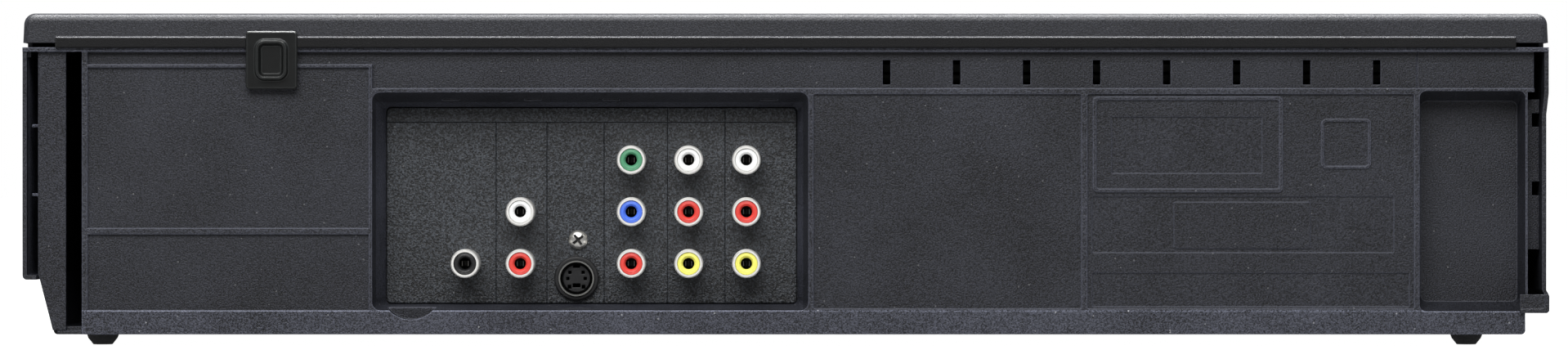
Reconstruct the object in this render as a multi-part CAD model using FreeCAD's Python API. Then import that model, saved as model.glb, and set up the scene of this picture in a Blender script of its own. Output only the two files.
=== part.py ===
import FreeCAD, Part
import math
import os
from FreeCAD import Vector

# Combined disc player and cassette recorder, in millimetres. The front, with the tray and the cassette door,
# faces -Y, the jack side faces +Y and +Z is up. The origin is under the middle of the deck, where it stands.

# Overall sizes
width = 435.0
depth = 238.0
height = 95.0
foot_height = 3.5
half_width = width / 2
fit_gap = 0.1
slide_gap = 0.25
running_gap = 0.05
seat_gap = 0.3

# Rear: the bushing stands furthest out, then the lip of the cover, then the wall itself
bushing_stand_out = 3.5
rear_face = depth / 2 - bushing_stand_out
rear_wall = 2.6

# Front: the buttons stand furthest out
button_stand_out = 1.0
front_face = -depth / 2 + button_stand_out
panel_depth = 18.0
panel_back = front_face + panel_depth
panel_wall = 2.4
panel_inner = front_face + panel_wall

# Cover
cover_wall = 1.2
cover_skirt = 8.4
cover_corner = 3.2
cover_draft = 0.4
cover_rear_round = 2.2
cover_overhang = 0.5
cover_inside = height - cover_wall
skirt_bottom = height - cover_skirt
lip_half_width = half_width - 9.5
lip_bevel = 0.3
lip_height = 3.2
lip_drop = 1.5
lip_stand_out = 1.0

# Shadow groove under the cover and the rim that runs round the body below it
groove_height = 1.3
rim_thick = 1.2
rim_top = skirt_bottom - groove_height
body_top = rim_top - rim_thick
rim_stand_out = 0.3
tongue_thick = 1.3
tongue_outer = half_width - cover_wall - fit_gap
side_tongue_top = skirt_bottom + 4.4

# Levels and lines of the rear wall: the vent band hangs from the rim, the fields from the band
vent_band = 10.5
vent_strip_low = body_top - vent_band
wall_left = half_width - 16.9
wall_right = 6.0 - half_width
vent_strip_right = 4.1 - half_width

# Bottom pan
floor_thick = 2.2
pan_wall = 2.0
floor_low = foot_height
floor_top = floor_low + floor_thick


def at(axis, where, u, v):
    """Point of a profile drawn across an axis: (y, z) for x, (x, z) for y and (x, y) for z."""
    if axis == "x":
        return Vector(where, u, v)
    if axis == "y":
        return Vector(u, where, v)
    return Vector(u, v, where)


def outline(axis, where, corners):
    """Closed wire through corners (u, v) or (u, v, radius), where a radius rounds the corner with an arc."""
    count = len(corners)
    joins = []
    for i, corner in enumerate(corners):
        here = Vector(corner[0], corner[1], 0)
        radius = corner[2] if len(corner) > 2 else 0.0
        if radius <= 0:
            joins.append((here, None, here))
            continue
        before = (Vector(corners[i - 1][0], corners[i - 1][1], 0) - here).normalize()
        following = corners[(i + 1) % count]
        after = (Vector(following[0], following[1], 0) - here).normalize()
        half = before.getAngle(after) / 2
        run = radius / math.tan(half)
        inward = (before + after).normalize()
        middle = here + inward * (radius / math.sin(half) - radius)
        joins.append((here + before * run, middle, here + after * run))
    edges = []
    for i, (start, middle, end) in enumerate(joins):
        if middle is not None:
            arc = [at(axis, where, p.x, p.y) for p in (start, middle, end)]
            edges.append(Part.Arc(*arc).toShape())
        following = joins[(i + 1) % count][0]
        if following.distanceToPoint(end) > 1e-6:
            line = [at(axis, where, p.x, p.y) for p in (end, following)]
            edges.append(Part.makeLine(*line))
    return Part.Wire(edges)


def rect(u0, u1, v0, v1, radius=0.0):
    """Corners of a rectangle, all rounded alike."""
    return [(u0, v0, radius), (u1, v0, radius), (u1, v1, radius), (u0, v1, radius)]


def prism(axis, low, high, corners):
    """Solid with that outline, carried from low to high along the axis."""
    return Part.Face(outline(axis, low, corners)).extrude(at(axis, high - low, 0, 0))


def block(x0, x1, y0, y1, z0, z1):
    """Plain block between two corners."""
    return Part.makeBox(x1 - x0, y1 - y0, z1 - z0, Vector(x0, y0, z0))


def rod(axis, low, high, u, v, radius):
    """Round bar along the axis through (u, v)."""
    return Part.makeCylinder(radius, high - low, at(axis, low, u, v), at(axis, 1, 0, 0))


def tube(axis, low, high, u, v, outer, inner):
    """Round bar with a bore right through."""
    return rod(axis, low, high, u, v, outer).cut(rod(axis, low - 1, high + 1, u, v, inner))


def drafted(axis, low, low_corners, high, high_corners):
    """Solid whose outline changes evenly from one end to the other, as a moulding with draft does."""
    wires = [outline(axis, low, low_corners), outline(axis, high, high_corners)]
    return Part.makeLoft(wires, True, True)


def joined(first, *others):
    """One solid out of several that touch or overlap."""
    return first.fuse(list(others)).removeSplitter()


def carved(solid, *tools):
    """The solid with each tool cut out of it."""
    return solid.cut(list(tools))


def save(node, *solids):
    """Writes one sub-part; several solids stay separate in its file."""
    shape = solids[0] if len(solids) == 1 else Part.makeCompound(list(solids))
    shape.exportStep("parts/" + node + ".step")


os.makedirs("parts", exist_ok=True)

# Jack bay: sloping walls run in from the rear face to a frame, which the jack panel closes from behind
bay_left = 117.9
bay_right = -6.5
bay_low = 10.3
bay_head = 1.1
bay_high = vent_strip_low - bay_head
bay_corner = 2.4
bay_floor_corner = 1.4
bay_wall = 1.2
bay_depth = 11.0
bay_side_inset = 3.15
bay_top_inset = 4.0
bay_low_inset = 1.6
jack_panel_step = 0.9
jack_panel_flange = 0.9
jack_panel_line = 0.35
bay_snap_x = (95.8, 72.3, 49.9, 4.7)
bay_snap_half = 2.4
bay_snap_front = 5.0
bay_snap_rear = 6.4
bay_floor = rear_face - bay_depth
bay_frame_end = bay_floor - jack_panel_step
bay_back = bay_frame_end - jack_panel_flange


def bay_outline(inset, share):
    """Bay outline, inset all round, at a share of the way from the face to the floor."""
    side = inset + bay_side_inset * share
    return rect(
        bay_right + side,
        bay_left - side,
        bay_low + inset + bay_low_inset * share,
        bay_high - inset - bay_top_inset * share,
        bay_corner + (bay_floor_corner - bay_corner) * share - inset * 0.5,
    )


# Finger scoop in the lower edge of the bay
scoop_x = 106.8
scoop_radius = 8.8
scoop_drop = 2.6
scoop_wall = 1.2
scoop_depth = 6.0


def finger_scoop(grow, low, high):
    """Segment of a round bar that cuts down into the bay's lower edge, between two planes across Y."""
    centre = bay_low - scoop_drop + scoop_radius
    bar = rod("y", low, high, scoop_x, centre, scoop_radius + grow)
    side = scoop_radius + grow + 1
    keep = block(scoop_x - side, scoop_x + side, low, high, centre - side, bay_low + bay_low_inset)
    return bar.common(keep)


# Right pocket: a deep drafted recess beside the label field
pocket_width = 30.2
pocket_right = wall_right + 0.6
pocket_left = pocket_right + pocket_width
pocket_low = 10.0
pocket_head = 0.7
pocket_high = vent_strip_low - pocket_head
pocket_corner = 1.9
pocket_depth = 8.5
pocket_side_draft = 0.6
pocket_end_draft = 2.1
pocket_wall = 1.2
pocket_floor = rear_face - pocket_depth


def pocket_outline(grow, share):
    """Pocket outline, grown outwards, at a share of the way from the face to the floor."""
    return rect(
        pocket_right - grow + pocket_side_draft * share,
        pocket_left + grow - pocket_side_draft * share,
        pocket_low - grow + pocket_end_draft * share,
        pocket_high + grow - pocket_end_draft * share,
        pocket_corner,
    )


# Rear wall: fields of different depth, vents, pocket, rim and tongue
rib = 1.7
vent_strip_depth = 1.2
band_seam = 37.4 - half_width
label_left = wall_left - 1.6
label_right = bay_left + 0.9
label_split = 32.9
label_high = body_top - 3.7
label_low = 10.3
label_depth = 0.8
field_depth = 0.6
field_low = 10.8
field_high = vent_strip_low - 1.6
middle_left = bay_right - 1.4
middle_right = -84.3
notice_left = middle_right - rib
notice_right = pocket_left + 1.5
vent_first = -28.8
vent_pitch = 19.97
vent_count = 8
vent_width = 2.2
vent_height = 7.0
vent_low = vent_strip_low + 1.1
plate_sink = 0.3
plate_rise = 0.45
plate_corner = 1.4
square_side = 14.1
square_right = notice_right + 12.4
square_left = square_right + square_side
framed_right = square_left + 11.0
framed_left = notice_left - 1.6
framed_high = field_high - 0.7
framed_low = framed_high - 27.3
flat_left = framed_left + 0.2
flat_low = 26.8
flat_high = framed_low - 1.2
strip_plate_low = field_low + 0.6
strip_plate_high = strip_plate_low + 9.6
rear_tab_depth = 10.0
tab_thick = 2.5
tab_width = 16.0
tab_gap = 0.1
tab_inset = 67.5
tab_x = (tab_inset - half_width, half_width - tab_inset)
tongue_front = rear_face - rear_wall
tongue_back = rear_face + cover_overhang - cover_wall - 2 * fit_gap

# Cord bushing: clamped between the slotted wall and the cover
bushing_x = half_width - 71.1
bushing_plate_half = 7.3
bushing_plate_high = skirt_bottom + 3.3
bushing_plate_low = bushing_plate_high - 16.5
bushing_neck_half = 5.3
bushing_neck_low = bushing_plate_low + 2.0
bushing_neck_high = bushing_plate_high - 2.5
bushing_plate_thick = 1.5
bushing_plate_bevel = 0.35
bushing_back_thick = 2.0
bushing_corner = 1.0
bushing_ring_half = 4.9
bushing_ring_low = bushing_plate_low + 2.2
bushing_ring_high = bushing_plate_high - 2.2
bushing_ring_corner = 3.0
bushing_ring_slope = 0.6
bushing_ring_crest = 0.6
bushing_dish_slope = 0.9
bushing_dish_depth = 1.3


def bushing_slot(grow, low, high, top):
    """Space of the bushing's neck, grown by a clearance and open up to the given height."""
    corners = rect(
        bushing_x - bushing_neck_half - grow,
        bushing_x + bushing_neck_half + grow,
        bushing_neck_low - grow,
        top,
        0.0,
    )
    return prism("y", low, high, corners)


def rear_panel():
    """Moulded rear wall with its recessed fields and the pocket."""
    slab = prism(
        "y",
        rear_face - rear_wall,
        rear_face,
        [
            (wall_left, floor_low),
            (wall_left, body_top),
            (vent_strip_right, body_top),
            (vent_strip_right, vent_strip_low - 1.0),
            (wall_right, vent_strip_low - 1.0),
            (wall_right, pocket_low - 0.1),
            (wall_right + 0.7, pocket_low - 0.1),
            (wall_right + 0.7, floor_low, 1.2),
        ],
    )
    rim_back = rear_face - rear_wall + 1.0
    rim = block(-half_width, half_width, rim_back, rear_face + rim_stand_out, body_top, rim_top)
    tongue_low = body_top - 2
    tongue = block(vent_strip_right + 6, wall_left - 6, tongue_front, tongue_back, tongue_low, cover_inside)
    pocket_mouth = pocket_outline(pocket_wall * 0.4, 0)
    pocket_shell = drafted("y", rear_face, pocket_mouth, pocket_floor, pocket_outline(0.4, 1))
    pocket_back = prism("y", pocket_floor - 1.6, pocket_floor, pocket_outline(0.4, 1))
    bay_shell = drafted("y", rear_face, bay_outline(-bay_wall, 0), bay_frame_end, bay_outline(-bay_wall, 1))
    scoop_shell = finger_scoop(scoop_wall, rear_face - scoop_depth - scoop_wall, rear_face)
    solid = joined(slab, rim, tongue, pocket_shell, pocket_back, bay_shell, scoop_shell)

    def sunk(u0, u1, v0, v1, depth, radius=0.0):
        """Recess of that depth in the face."""
        return prism("y", rear_face - depth, rear_face + 2, rect(u0, u1, v0, v1, radius))

    band = rear_face - vent_strip_depth
    tools = [
        block(vent_strip_right - 1, bay_left, band, rear_face, vent_strip_low, body_top),
        block(bay_left, label_left, band, rear_face, label_high, body_top),
        sunk(label_right, label_left, label_split + rib / 2, label_high - 0.8, label_depth),
        sunk(label_right, label_left, label_low, label_split - rib / 2, label_depth),
        sunk(middle_right, middle_left, field_low, field_high, field_depth, 0.6),
        sunk(notice_right, notice_left, field_low, field_high, field_depth, 0.6),
        drafted("y", rear_face, bay_outline(0, 0), bay_floor, bay_outline(0, 1)),
        prism("y", bay_frame_end - 1, bay_floor, bay_outline(0, 1)),
        finger_scoop(0, rear_face - scoop_depth, rear_face + 1),
        drafted("y", rear_face, pocket_outline(0, 0), pocket_floor, pocket_outline(-pocket_wall * 0.5, 1)),
        block(band_seam - 0.15, band_seam + 0.15, band - 0.3, rear_face, vent_strip_low, body_top),
        bushing_slot(fit_gap, rear_face - rear_wall - 2, rear_face + 2, cover_inside + 1),
    ]
    for i in range(vent_count):
        x = vent_first - i * vent_pitch
        half = vent_width / 2
        high = vent_low + vent_height
        tools.append(block(x - half, x + half, rear_face - 5, rear_face + 1, vent_low, high))
    for x in bay_snap_x:
        y0 = rear_face - bay_snap_rear
        y1 = rear_face - bay_snap_front
        low = bay_high - bay_top_inset
        high = bay_high + bay_wall
        tools.append(block(x - bay_snap_half, x + bay_snap_half, y0, y1, low, high))
    solid = carved(solid, *tools)

    # Bare plates in the notice field: a framed plate, a square plate and two flat plates
    field = rear_face - field_depth

    def raised(u0, u1, v0, v1, ring):
        """Raised rounded frame standing on the field."""
        outer = prism("y", field - 0.2, field + plate_rise, rect(u0, u1, v0, v1, plate_corner))
        inner = rect(u0 + ring, u1 - ring, v0 + ring, v1 - ring, plate_corner - ring * 0.6)
        return outer.cut(prism("y", field - 1, field + 2, inner))

    solid = joined(
        solid,
        raised(framed_right, framed_left, framed_low, framed_high, 1.0),
        raised(square_right, square_left, framed_low + 6.8, framed_low + 6.8 + square_side, 0.7),
    )

    def plate(u0, u1, v0, v1):
        """Flat plate sunk in the field."""
        return prism("y", field - plate_sink, field + 1, rect(u0, u1, v0, v1, 0.3))

    flat_right = notice_right + 5.8
    island = plate(flat_right + 23.8, flat_left - 23.3, flat_low + 1.2, flat_high - 1.6)
    solid = carved(
        solid,
        plate(framed_right + 5.9, framed_left - 5.4, framed_low + 5.4, framed_high - 5.8),
        plate(flat_right, flat_left, flat_low, flat_high).cut(island),
        plate(notice_right + 1.4, flat_left, strip_plate_low, strip_plate_high),
    )
    for x in tab_x:
        solid = solid.fuse(
            carved(
                block(
                    x - tab_width / 2,
                    x + tab_width / 2,
                    rear_face - rear_wall - rear_tab_depth,
                    rear_face - rear_wall,
                    floor_top + tab_gap,
                    floor_top + tab_gap + tab_thick,
                ),
                rod("z", floor_low, floor_top + tab_gap + tab_thick + 1, x, rear_screw_y, screw_hole),
            )
        )
    return solid.removeSplitter()


# Screws of the bottom pan
screw_shank = 1.3
screw_hole = screw_shank + fit_gap
screw_head = 2.8
screw_head_high = 1.1
screw_length = 4.4
front_tab_depth = 12.0
rear_screw_y = rear_face - rear_wall - rear_tab_depth / 2
front_screw_y = panel_back + front_tab_depth / 2
screw_places = [(x, y) for y in (rear_screw_y, front_screw_y) for x in tab_x]


def base_screw(x, y):
    """Countersunk into the pan's underside, its shank in the tab above."""
    head = rod("z", floor_low, floor_low + screw_head_high, x, y, screw_head)
    return joined(head, rod("z", floor_low, floor_low + screw_length, x, y, screw_shank))


# Disc loader: the frame carries the tray between ledges and lugs, with the drive gears at its front
tray_x = half_width - 107.5
tray_half = 65.5
tray_low = 62.0
tray_plate = 4.0
tray_rim = 8.0
tray_rim_wall = 2.5
tray_long = 180.0
tray_back = front_face + tray_long
tray_travel = 140.0
disc_y = front_face + 78.0
disc_recess = 60.6
disc_recess_depth = 1.6
small_recess = 40.6
small_recess_depth = 1.0
window_half = 22.0
window_front = disc_y - 22.0
window_rear = disc_y + 68.0
window_corner = 12.0
tray_slot_half = 40.0
tray_slot_gap = 12.0
tray_slot_end = 8.0
tray_slot_corner = 3.0
loader_wall = 3.0
loader_gap = 1.5
loader_front = front_face + 6.0
loader_rear = tray_back + 5.0
loader_floor_low = 44.0
loader_floor_thick = 2.0
loader_top = 76.0
loader_floor = loader_floor_low + loader_floor_thick
loader_half = tray_half + loader_gap + loader_wall
ledge_width = 4.0
ledge_high = 3.0

# Teeth: twenty-degree involutes of one module, a little thinned for backlash
module = 1.0
pressure = math.radians(20)
addendum = 0.8 * module
dedendum = 1.1 * module
backlash = 0.12
tray_gear_teeth = 20
tray_wheel_teeth = 28
drive_teeth = 14
sled_teeth = 14
tray_gear_pitch = tray_gear_teeth * module / 2
tray_wheel_pitch = tray_wheel_teeth * module / 2
drive_pitch = drive_teeth * module / 2
sled_pitch = sled_teeth * module / 2
rack_line = tray_x - tray_half + 8.0
tray_gear_x = rack_line + tray_gear_pitch
gear_y = front_face + 26.0
drive_x = tray_gear_x + tray_wheel_pitch + drive_pitch
belt_span = 28.0
motor_x = drive_x + belt_span
gear_pin = 1.5
gear_bore = gear_pin + running_gap
pulley_low = loader_floor + 0.5
pulley_high = pulley_low + 4.0
wheel_low = pulley_high + 0.5
wheel_high = wheel_low + 3.5
pinion_low = wheel_high + 0.8
pinion_high = tray_low - 0.5
drive_pulley_radius = 11.5
motor_pulley_radius = 3.5
motor_shaft = 1.0
belt_wall = 1.0
belt_high = 1.6
groove_deep = 1.2
groove_low = pulley_low + (pulley_high - pulley_low - belt_high) / 2 - 0.2
groove_high = groove_low + belt_high + 0.4
rack_low = pinion_low + 0.3
rack_front = gear_y - 10.0
rack_rear = gear_y + tray_travel + 8.0


def gear(teeth, x, y, low, high, bore, first):
    """Spur wheel about Z. Each flank is an involute of the base circle; first is one tooth's direction."""
    pitch = teeth * module / 2
    base = pitch * math.cos(pressure)
    tip = pitch + addendum
    root = pitch - dedendum
    half_tooth = math.pi / (2 * teeth) - backlash / (2 * pitch)
    at_pitch = math.tan(pressure) - pressure
    start = max(base, root)
    flank = []
    for i in range(3):
        radius = start + (tip - start) * i / 2
        roll = math.acos(min(1.0, base / radius))
        flank.append((radius, half_tooth + at_pitch - (math.tan(roll) - roll)))
    points = []
    for k in range(teeth):
        middle = first + 2 * math.pi * k / teeth
        side = [(root, flank[0][1] + 0.02)] + flank
        polar = [(r, middle - a) for r, a in side] + [(r, middle + a) for r, a in reversed(side)]
        points += [(x + r * math.cos(a), y + r * math.sin(a)) for r, a in polar]
    return prism("z", low, high, points).cut(rod("z", low - 1, high + 1, x, y, bore))


def rack(line, facing, first_y, last_y, low, high, back, phase_y):
    """Toothed bar along Y. Its pitch line lies at x = line, and its teeth point to facing (+1 or -1)."""
    pitch = math.pi * module
    slope = math.tan(pressure)
    points = []
    k = math.ceil((first_y - phase_y) / pitch)
    while phase_y + k * pitch + pitch / 2 < last_y:
        middle = phase_y + (k + 0.5) * pitch
        half = pitch / 4 - backlash / 2
        root_half = half + dedendum * slope
        tip_half = half - addendum * slope
        points.append((line - facing * dedendum, middle - root_half))
        points.append((line + facing * addendum, middle - tip_half))
        points.append((line + facing * addendum, middle + tip_half))
        points.append((line - facing * dedendum, middle + root_half))
        k += 1
    bar = line - facing * (dedendum + back)
    points.append((line - facing * dedendum, last_y))
    points.append((bar, last_y))
    points.append((bar, first_y))
    points.append((line - facing * dedendum, first_y))
    return prism("z", low, high, points)


# Traverse: rises on its own into the tray's window, with the spindle motor, guide rods and pickup on it
traverse_low = loader_floor + seat_gap
traverse_thick = 2.0
traverse_top = traverse_low + traverse_thick
traverse_lift = 8.0
traverse_left = tray_x - 38.0
traverse_right = tray_x + 43.0
traverse_front = disc_y - 22.0
traverse_rear = disc_y + 90.0
traverse_window_half = 20.0
floor_hole_inset = 5.0
spindle_radius = 13.0
spindle_top = traverse_top + 6.0
turntable_radius = 14.0
turntable_low = spindle_top + 0.4
disc_lift = 1.0
seat_high = tray_low + tray_plate - disc_recess_depth + disc_lift - traverse_lift
hub_high = 4.0
hub_radius = 7.3
hub_cone = 1.6
lens_inner = 23.0
lens_back = 8.5
carriage_radius = 6.5
carriage_high = 1.2
lens_radius = 3.4
lens_high = 0.8
pickup_front = disc_y + lens_inner - lens_back
pickup_length = 20.0
pickup_travel = 36.0
pickup_half = 26.0
pickup_low = traverse_top + 0.4
pickup_high = pickup_low + 4.8
pickup_rear_most = pickup_front + pickup_length + pickup_travel
traverse_window_front = pickup_front + 1.5
traverse_window_rear = pickup_rear_most + 1.0
rod_radius = 1.5
rod_offset = 22.0
rod_block_half = 3.0
rod_block_deep = 4.0
rod_block_cap = 2.2
rod_z = traverse_top + 3.2
rod_front = pickup_front - 2.5
rod_rear = pickup_rear_most + 5.5
sled_line = tray_x + pickup_half + 4.0
sled_x = sled_line + sled_pitch
sled_y = disc_y + 44.0
sled_low = traverse_top + 0.6
sled_high = sled_low + 3.5

# Clamper, hanging loosely in a hole of the bridge above the disc
bridge_half = 12.0
bridge_thick = 2.5
clamper_hole = 16.2
clamper_neck = 15.2
clamper_flange = 18.0
clamper_flange_thick = 1.4
clamper_low = tray_low + tray_plate + 1.2
clamper_hollow = 3.2

# Cassette deck
deck_x = 113.0 - half_width
cassette_width = 188.0
cassette_high = 25.0
basket_inner = cassette_width / 2 + 1.0
plate_thick = 1.2
basket_wall = 1.5
basket_low = 52.0
basket_high = basket_low + cassette_high + 3.2
basket_front = panel_back + 17.0
basket_depth = 60.0
basket_drop = 16.0
slider_travel = 30.0
slider_low = 44.0
slider_high = 84.0
slider_gap = 0.6
basket_outer = basket_inner + basket_wall
slider_inner = basket_outer + slider_gap
slider_outer = slider_inner + basket_wall
deck_inner = slider_outer + slider_gap
deck_outer = deck_inner + 1.4
deck_front = panel_back + 2.0
deck_low = 22.0
deck_top = deck_low + 1.6
peg_radius = 2.0
peg_slot = peg_radius + 0.1
basket_peg_z = 68.0
basket_peg_y = basket_front + 30.0
slider_peg_z = 76.0
slider_bar = 6.0
slider_pegs_y = (basket_front + 11.0, basket_front + 51.0)
reel_spacing = 46.0
reel_y = basket_front + 48.0
reel_radius = 20.0
reel_low = deck_top + 1.0
drum_y = basket_front + 127.0
drum_radius = 31.0
drum_foot_half = 24.0
drum_foot_front = 26.0
drum_foot_rear = 36.0
deck_rear = drum_y + drum_foot_rear + 1.0
drum_tilt = 6.0
drum_low = deck_top
drum_lower_high = 20.0
drum_gap = 0.4
drum_upper_high = 15.0
drum_shaft = 3.0
capstan_x = deck_x + 44.0
capstan_y = drum_y - 24.0
capstan_radius = 2.0
capstan_top = 52.0
flywheel_radius = 19.0
flywheel_low = 13.0
flywheel_high = 18.0
pinch_pivot_x = capstan_x + 22.0
pinch_pivot_y = capstan_y + 14.0
pinch_arm = 24.0
pinch_roller = 6.0
pinch_rest_gap = 8.0
pinch_low = deck_top + 6.0
pinch_high = 46.0

# Main board, power board and front board
board_thick = 1.6
board_low = 11.0
board_top = board_low + board_thick
post_half = 3.6
stand_half = 2.6
loader_posts = [(x, y) for x in (tray_x - 64, tray_x + 64) for y in (gear_y, loader_rear - 12)]
deck_posts = [(x, y) for x in (deck_x - 92, deck_x + 92) for y in (deck_front + 10, deck_rear - 10)]
main_left = tray_x + 58.0
main_right = tray_x - 58.0
main_front = panel_back + 12.0
jack_part_right = bay_right + 7.5
jack_part_left = bay_left + 2.1
jack_part_rear = bay_back - 1.0
power_left = wall_left - 0.6
power_right = jack_part_left + 3.0
power_rear = rear_face - rear_wall - 2.9
power_front = power_rear - 30.0
main_rear = power_front - 4.0
# Parts on the main board: place from its right front corner, size and height
board_parts = (
    (38.0, 58.0, 28.0, 28.0, 2.4),
    (18.0, 98.0, 14.0, 22.0, 1.8),
    (76.0, 108.0, 22.0, 14.0, 1.8),
    (8.0, 8.0, 30.0, 7.0, 7.0),
)
board_caps_x = (12.0, 24.0, 36.0, 84.0)
board_cap_radius = 3.2
board_cap_high = 9.0
core_width = 28.0
core_depth = 24.0
core_high = 26.0
winding_out = 3.0
mains_cap_radius = 7.5
mains_cap_high = 24.0
output_cap_radius = 5.0
output_cap_high = 16.0
sink_width = 14.0
sink_base = 4.0
sink_high = 20.0
sink_fin = 1.2
sink_pitch = 3.0
main_stands = [
    (main_left - 6, main_front + 6),
    (main_right + 6, main_front + 6),
    (main_left - 6, main_rear - 8),
]
main_stands += [(jack_part_right + 6, jack_part_rear - 6), (jack_part_left - 6, jack_part_rear - 5)]
power_stands = [(power_left - 5, power_front + 5), (power_right + 5, power_front + 5)]
power_stands += [(power_left - 5, power_rear - 5), (power_right + 5, power_rear - 5)]


# Bottom pan: floor, leaning lower sides, upright walls, rear flange, snap rails, posts and stands
pan_left_low = half_width - 8.8
pan_left_knee_z = 19.1
pan_left_knee = half_width - 4.8
pan_left_wall = half_width - 4.3
pan_right_low = wall_right + 0.7
pan_right_knee_z = pocket_low + 2.0
pan_right_wall = vent_strip_right
flange_inner = half_width - 12.2
flange_low = 4.7
flange_back = rear_face - 1.0
flange_thick = 2.0
pan_rear = rear_face - rear_wall
left_rib_z = (63.0, 43.3)
left_rib_reach = 2.1
rail_outer = 2.0 - half_width
rail_low = 27.7
rail_high = 70.5
rail_notches = ((62.7, 66.6), (43.1, 47.1))
rail_front = rear_face - 34.0
rail_rear = rear_face - 5.0


# Vent slots in the floor: middle and front end of each row of slots
floor_vent_width = 2.4
floor_vent_long = 22.0
floor_vent_pitch = 6.0
floor_vent_count = 9
floor_vent_rows = (
    ((power_left + power_right) / 2, power_rear - 30),
    (tray_x, main_front + 60),
    (tray_x, main_front + 90),
    (deck_x, deck_rear - 60),
    (deck_x, deck_rear - 90),
)


def post(x, y, half, top):
    """Square post standing in the pan's floor."""
    return block(x - half, x + half, y - half, y + half, floor_top - 1, top)


def base_pan():
    """One moulding: the floor with both walls, then what stands on it."""
    trough = prism(
        "y",
        panel_back,
        pan_rear,
        [
            (pan_left_low, floor_low, 1.0),
            (pan_left_knee, pan_left_knee_z),
            (pan_left_wall, pan_left_knee_z + 1.4),
            (pan_left_wall, body_top),
            (pan_left_wall - pan_wall, body_top),
            (pan_left_wall - pan_wall, pan_left_knee_z + 1.4),
            (pan_left_knee - pan_wall, pan_left_knee_z),
            (pan_left_low - pan_wall, floor_top),
            (pan_right_low + pan_wall, floor_top),
            (pan_right_low + pan_wall, pan_right_knee_z),
            (pan_right_wall + pan_wall, pan_right_knee_z + 2.0),
            (pan_right_wall + pan_wall, body_top),
            (pan_right_wall, body_top),
            (pan_right_wall, pan_right_knee_z + 2.0),
            (pan_right_low, pan_right_knee_z),
            (pan_right_low, floor_low, 1.0),
        ],
    )
    flange = prism(
        "y",
        flange_back - flange_thick,
        flange_back,
        [
            (flange_inner, flange_low),
            (flange_inner, body_top),
            (pan_left_wall, body_top),
            (pan_left_wall, pan_left_knee_z + 1.4),
            (pan_left_knee, pan_left_knee_z),
            (pan_left_low + 0.3, flange_low),
        ],
    )
    sill_left = pan_left_low - 1
    rear_sill = block(wall_left + tab_gap, sill_left, pan_rear - 1, flange_back, floor_low, floor_low + 1.0)
    adds = [flange, rear_sill]
    for z in left_rib_z:
        out = pan_left_wall + left_rib_reach
        adds.append(block(pan_left_wall - 0.5, out, rear_face - 60, rear_face - 4, z - 0.4, z + 0.4))
    rail = block(rail_outer, pan_right_wall + 0.5, rail_front, rail_rear, rail_low, rail_high)
    for low, high in rail_notches:
        rail = rail.cut(block(rail_outer - 1, pan_right_wall, rail_front - 1, rail_rear + 1, low, high))
    adds.append(rail)
    for x, y in loader_posts:
        adds.append(post(x, y, post_half, loader_floor_low))
    for x, y in deck_posts:
        adds.append(post(x, y, post_half, deck_low))
    for x, y in main_stands + power_stands:
        adds.append(post(x, y, stand_half, board_low))
    solid = joined(trough, *adds)
    pocket_room = block(
        wall_right - 20,
        vent_strip_right + 12,
        rear_face - 14,
        rear_face + 1,
        floor_top + 0.2,
        body_top + 1,
    )
    tools = [pocket_room.cut(block(rail_outer - 1, wall_right, rail_front, rail_rear, rail_low, rail_high))]
    for x, y in screw_places:
        tools.append(rod("z", floor_low - 1, floor_top + 1, x, y, screw_hole))
        tools.append(rod("z", floor_low - 1, floor_low + screw_head_high, x, y, screw_head + fit_gap))
    for x, y in foot_places:
        tools.append(rod("z", floor_low - 1, floor_top + 1, x, y, foot_stem + fit_gap))
    half = floor_vent_width / 2
    for middle, y in floor_vent_rows:
        for i in range(floor_vent_count):
            x = middle + (i - (floor_vent_count - 1) / 2) * floor_vent_pitch
            slot = rect(x - half, x + half, y, y + floor_vent_long, half - 0.01)
            tools.append(prism("z", floor_low - 1, floor_top + 1, slot))
    return carved(solid, *tools)


# Rubber feet, tapering down, each with a stem pushed through the floor
foot_top = 4.9
foot_bottom = 2.75
foot_step = 4.2
foot_step_high = 1.8
foot_stem = 2.0
foot_stem_long = 4.0
foot_rows = (rear_face - 23.5, front_face + 44)
foot_places = [(x, y) for y in foot_rows for x in (half_width - 19.9, 20.5 - half_width)]


def foot(x, y):
    """Turned profile of a foot, from the bottom up to the end of its stem."""
    profile = [
        (0.0, 0.0),
        (foot_bottom, 0.0),
        (foot_step, foot_step_high),
        (foot_top, foot_height),
        (foot_stem, foot_height),
        (foot_stem, foot_height + foot_stem_long),
        (0.0, foot_height + foot_stem_long),
    ]
    face = Part.Face(outline("y", 0, profile))
    solid = face.revolve(Vector(0, 0, 0), Vector(0, 0, 1), 360)
    solid.translate(Vector(x, y, 0))
    return solid


# Side panels: thin skins that stand off the pan's walls and stay open at the back
skin = 1.2
left_skin_low = 19.1
left_lip_reach = 3.9
right_bulge_low = 72.2
right_waist = 0.7
right_waist_z = 66.2
right_flare_z = 14.9
right_low = 9.6
right_lip_reach = 5.4
bracket_reach = 8.3
bracket_root = 1.0
bracket_floor = 0.9
bracket_stand_out = 1.4
rim_back = rear_face - rear_wall + 1.0


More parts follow.
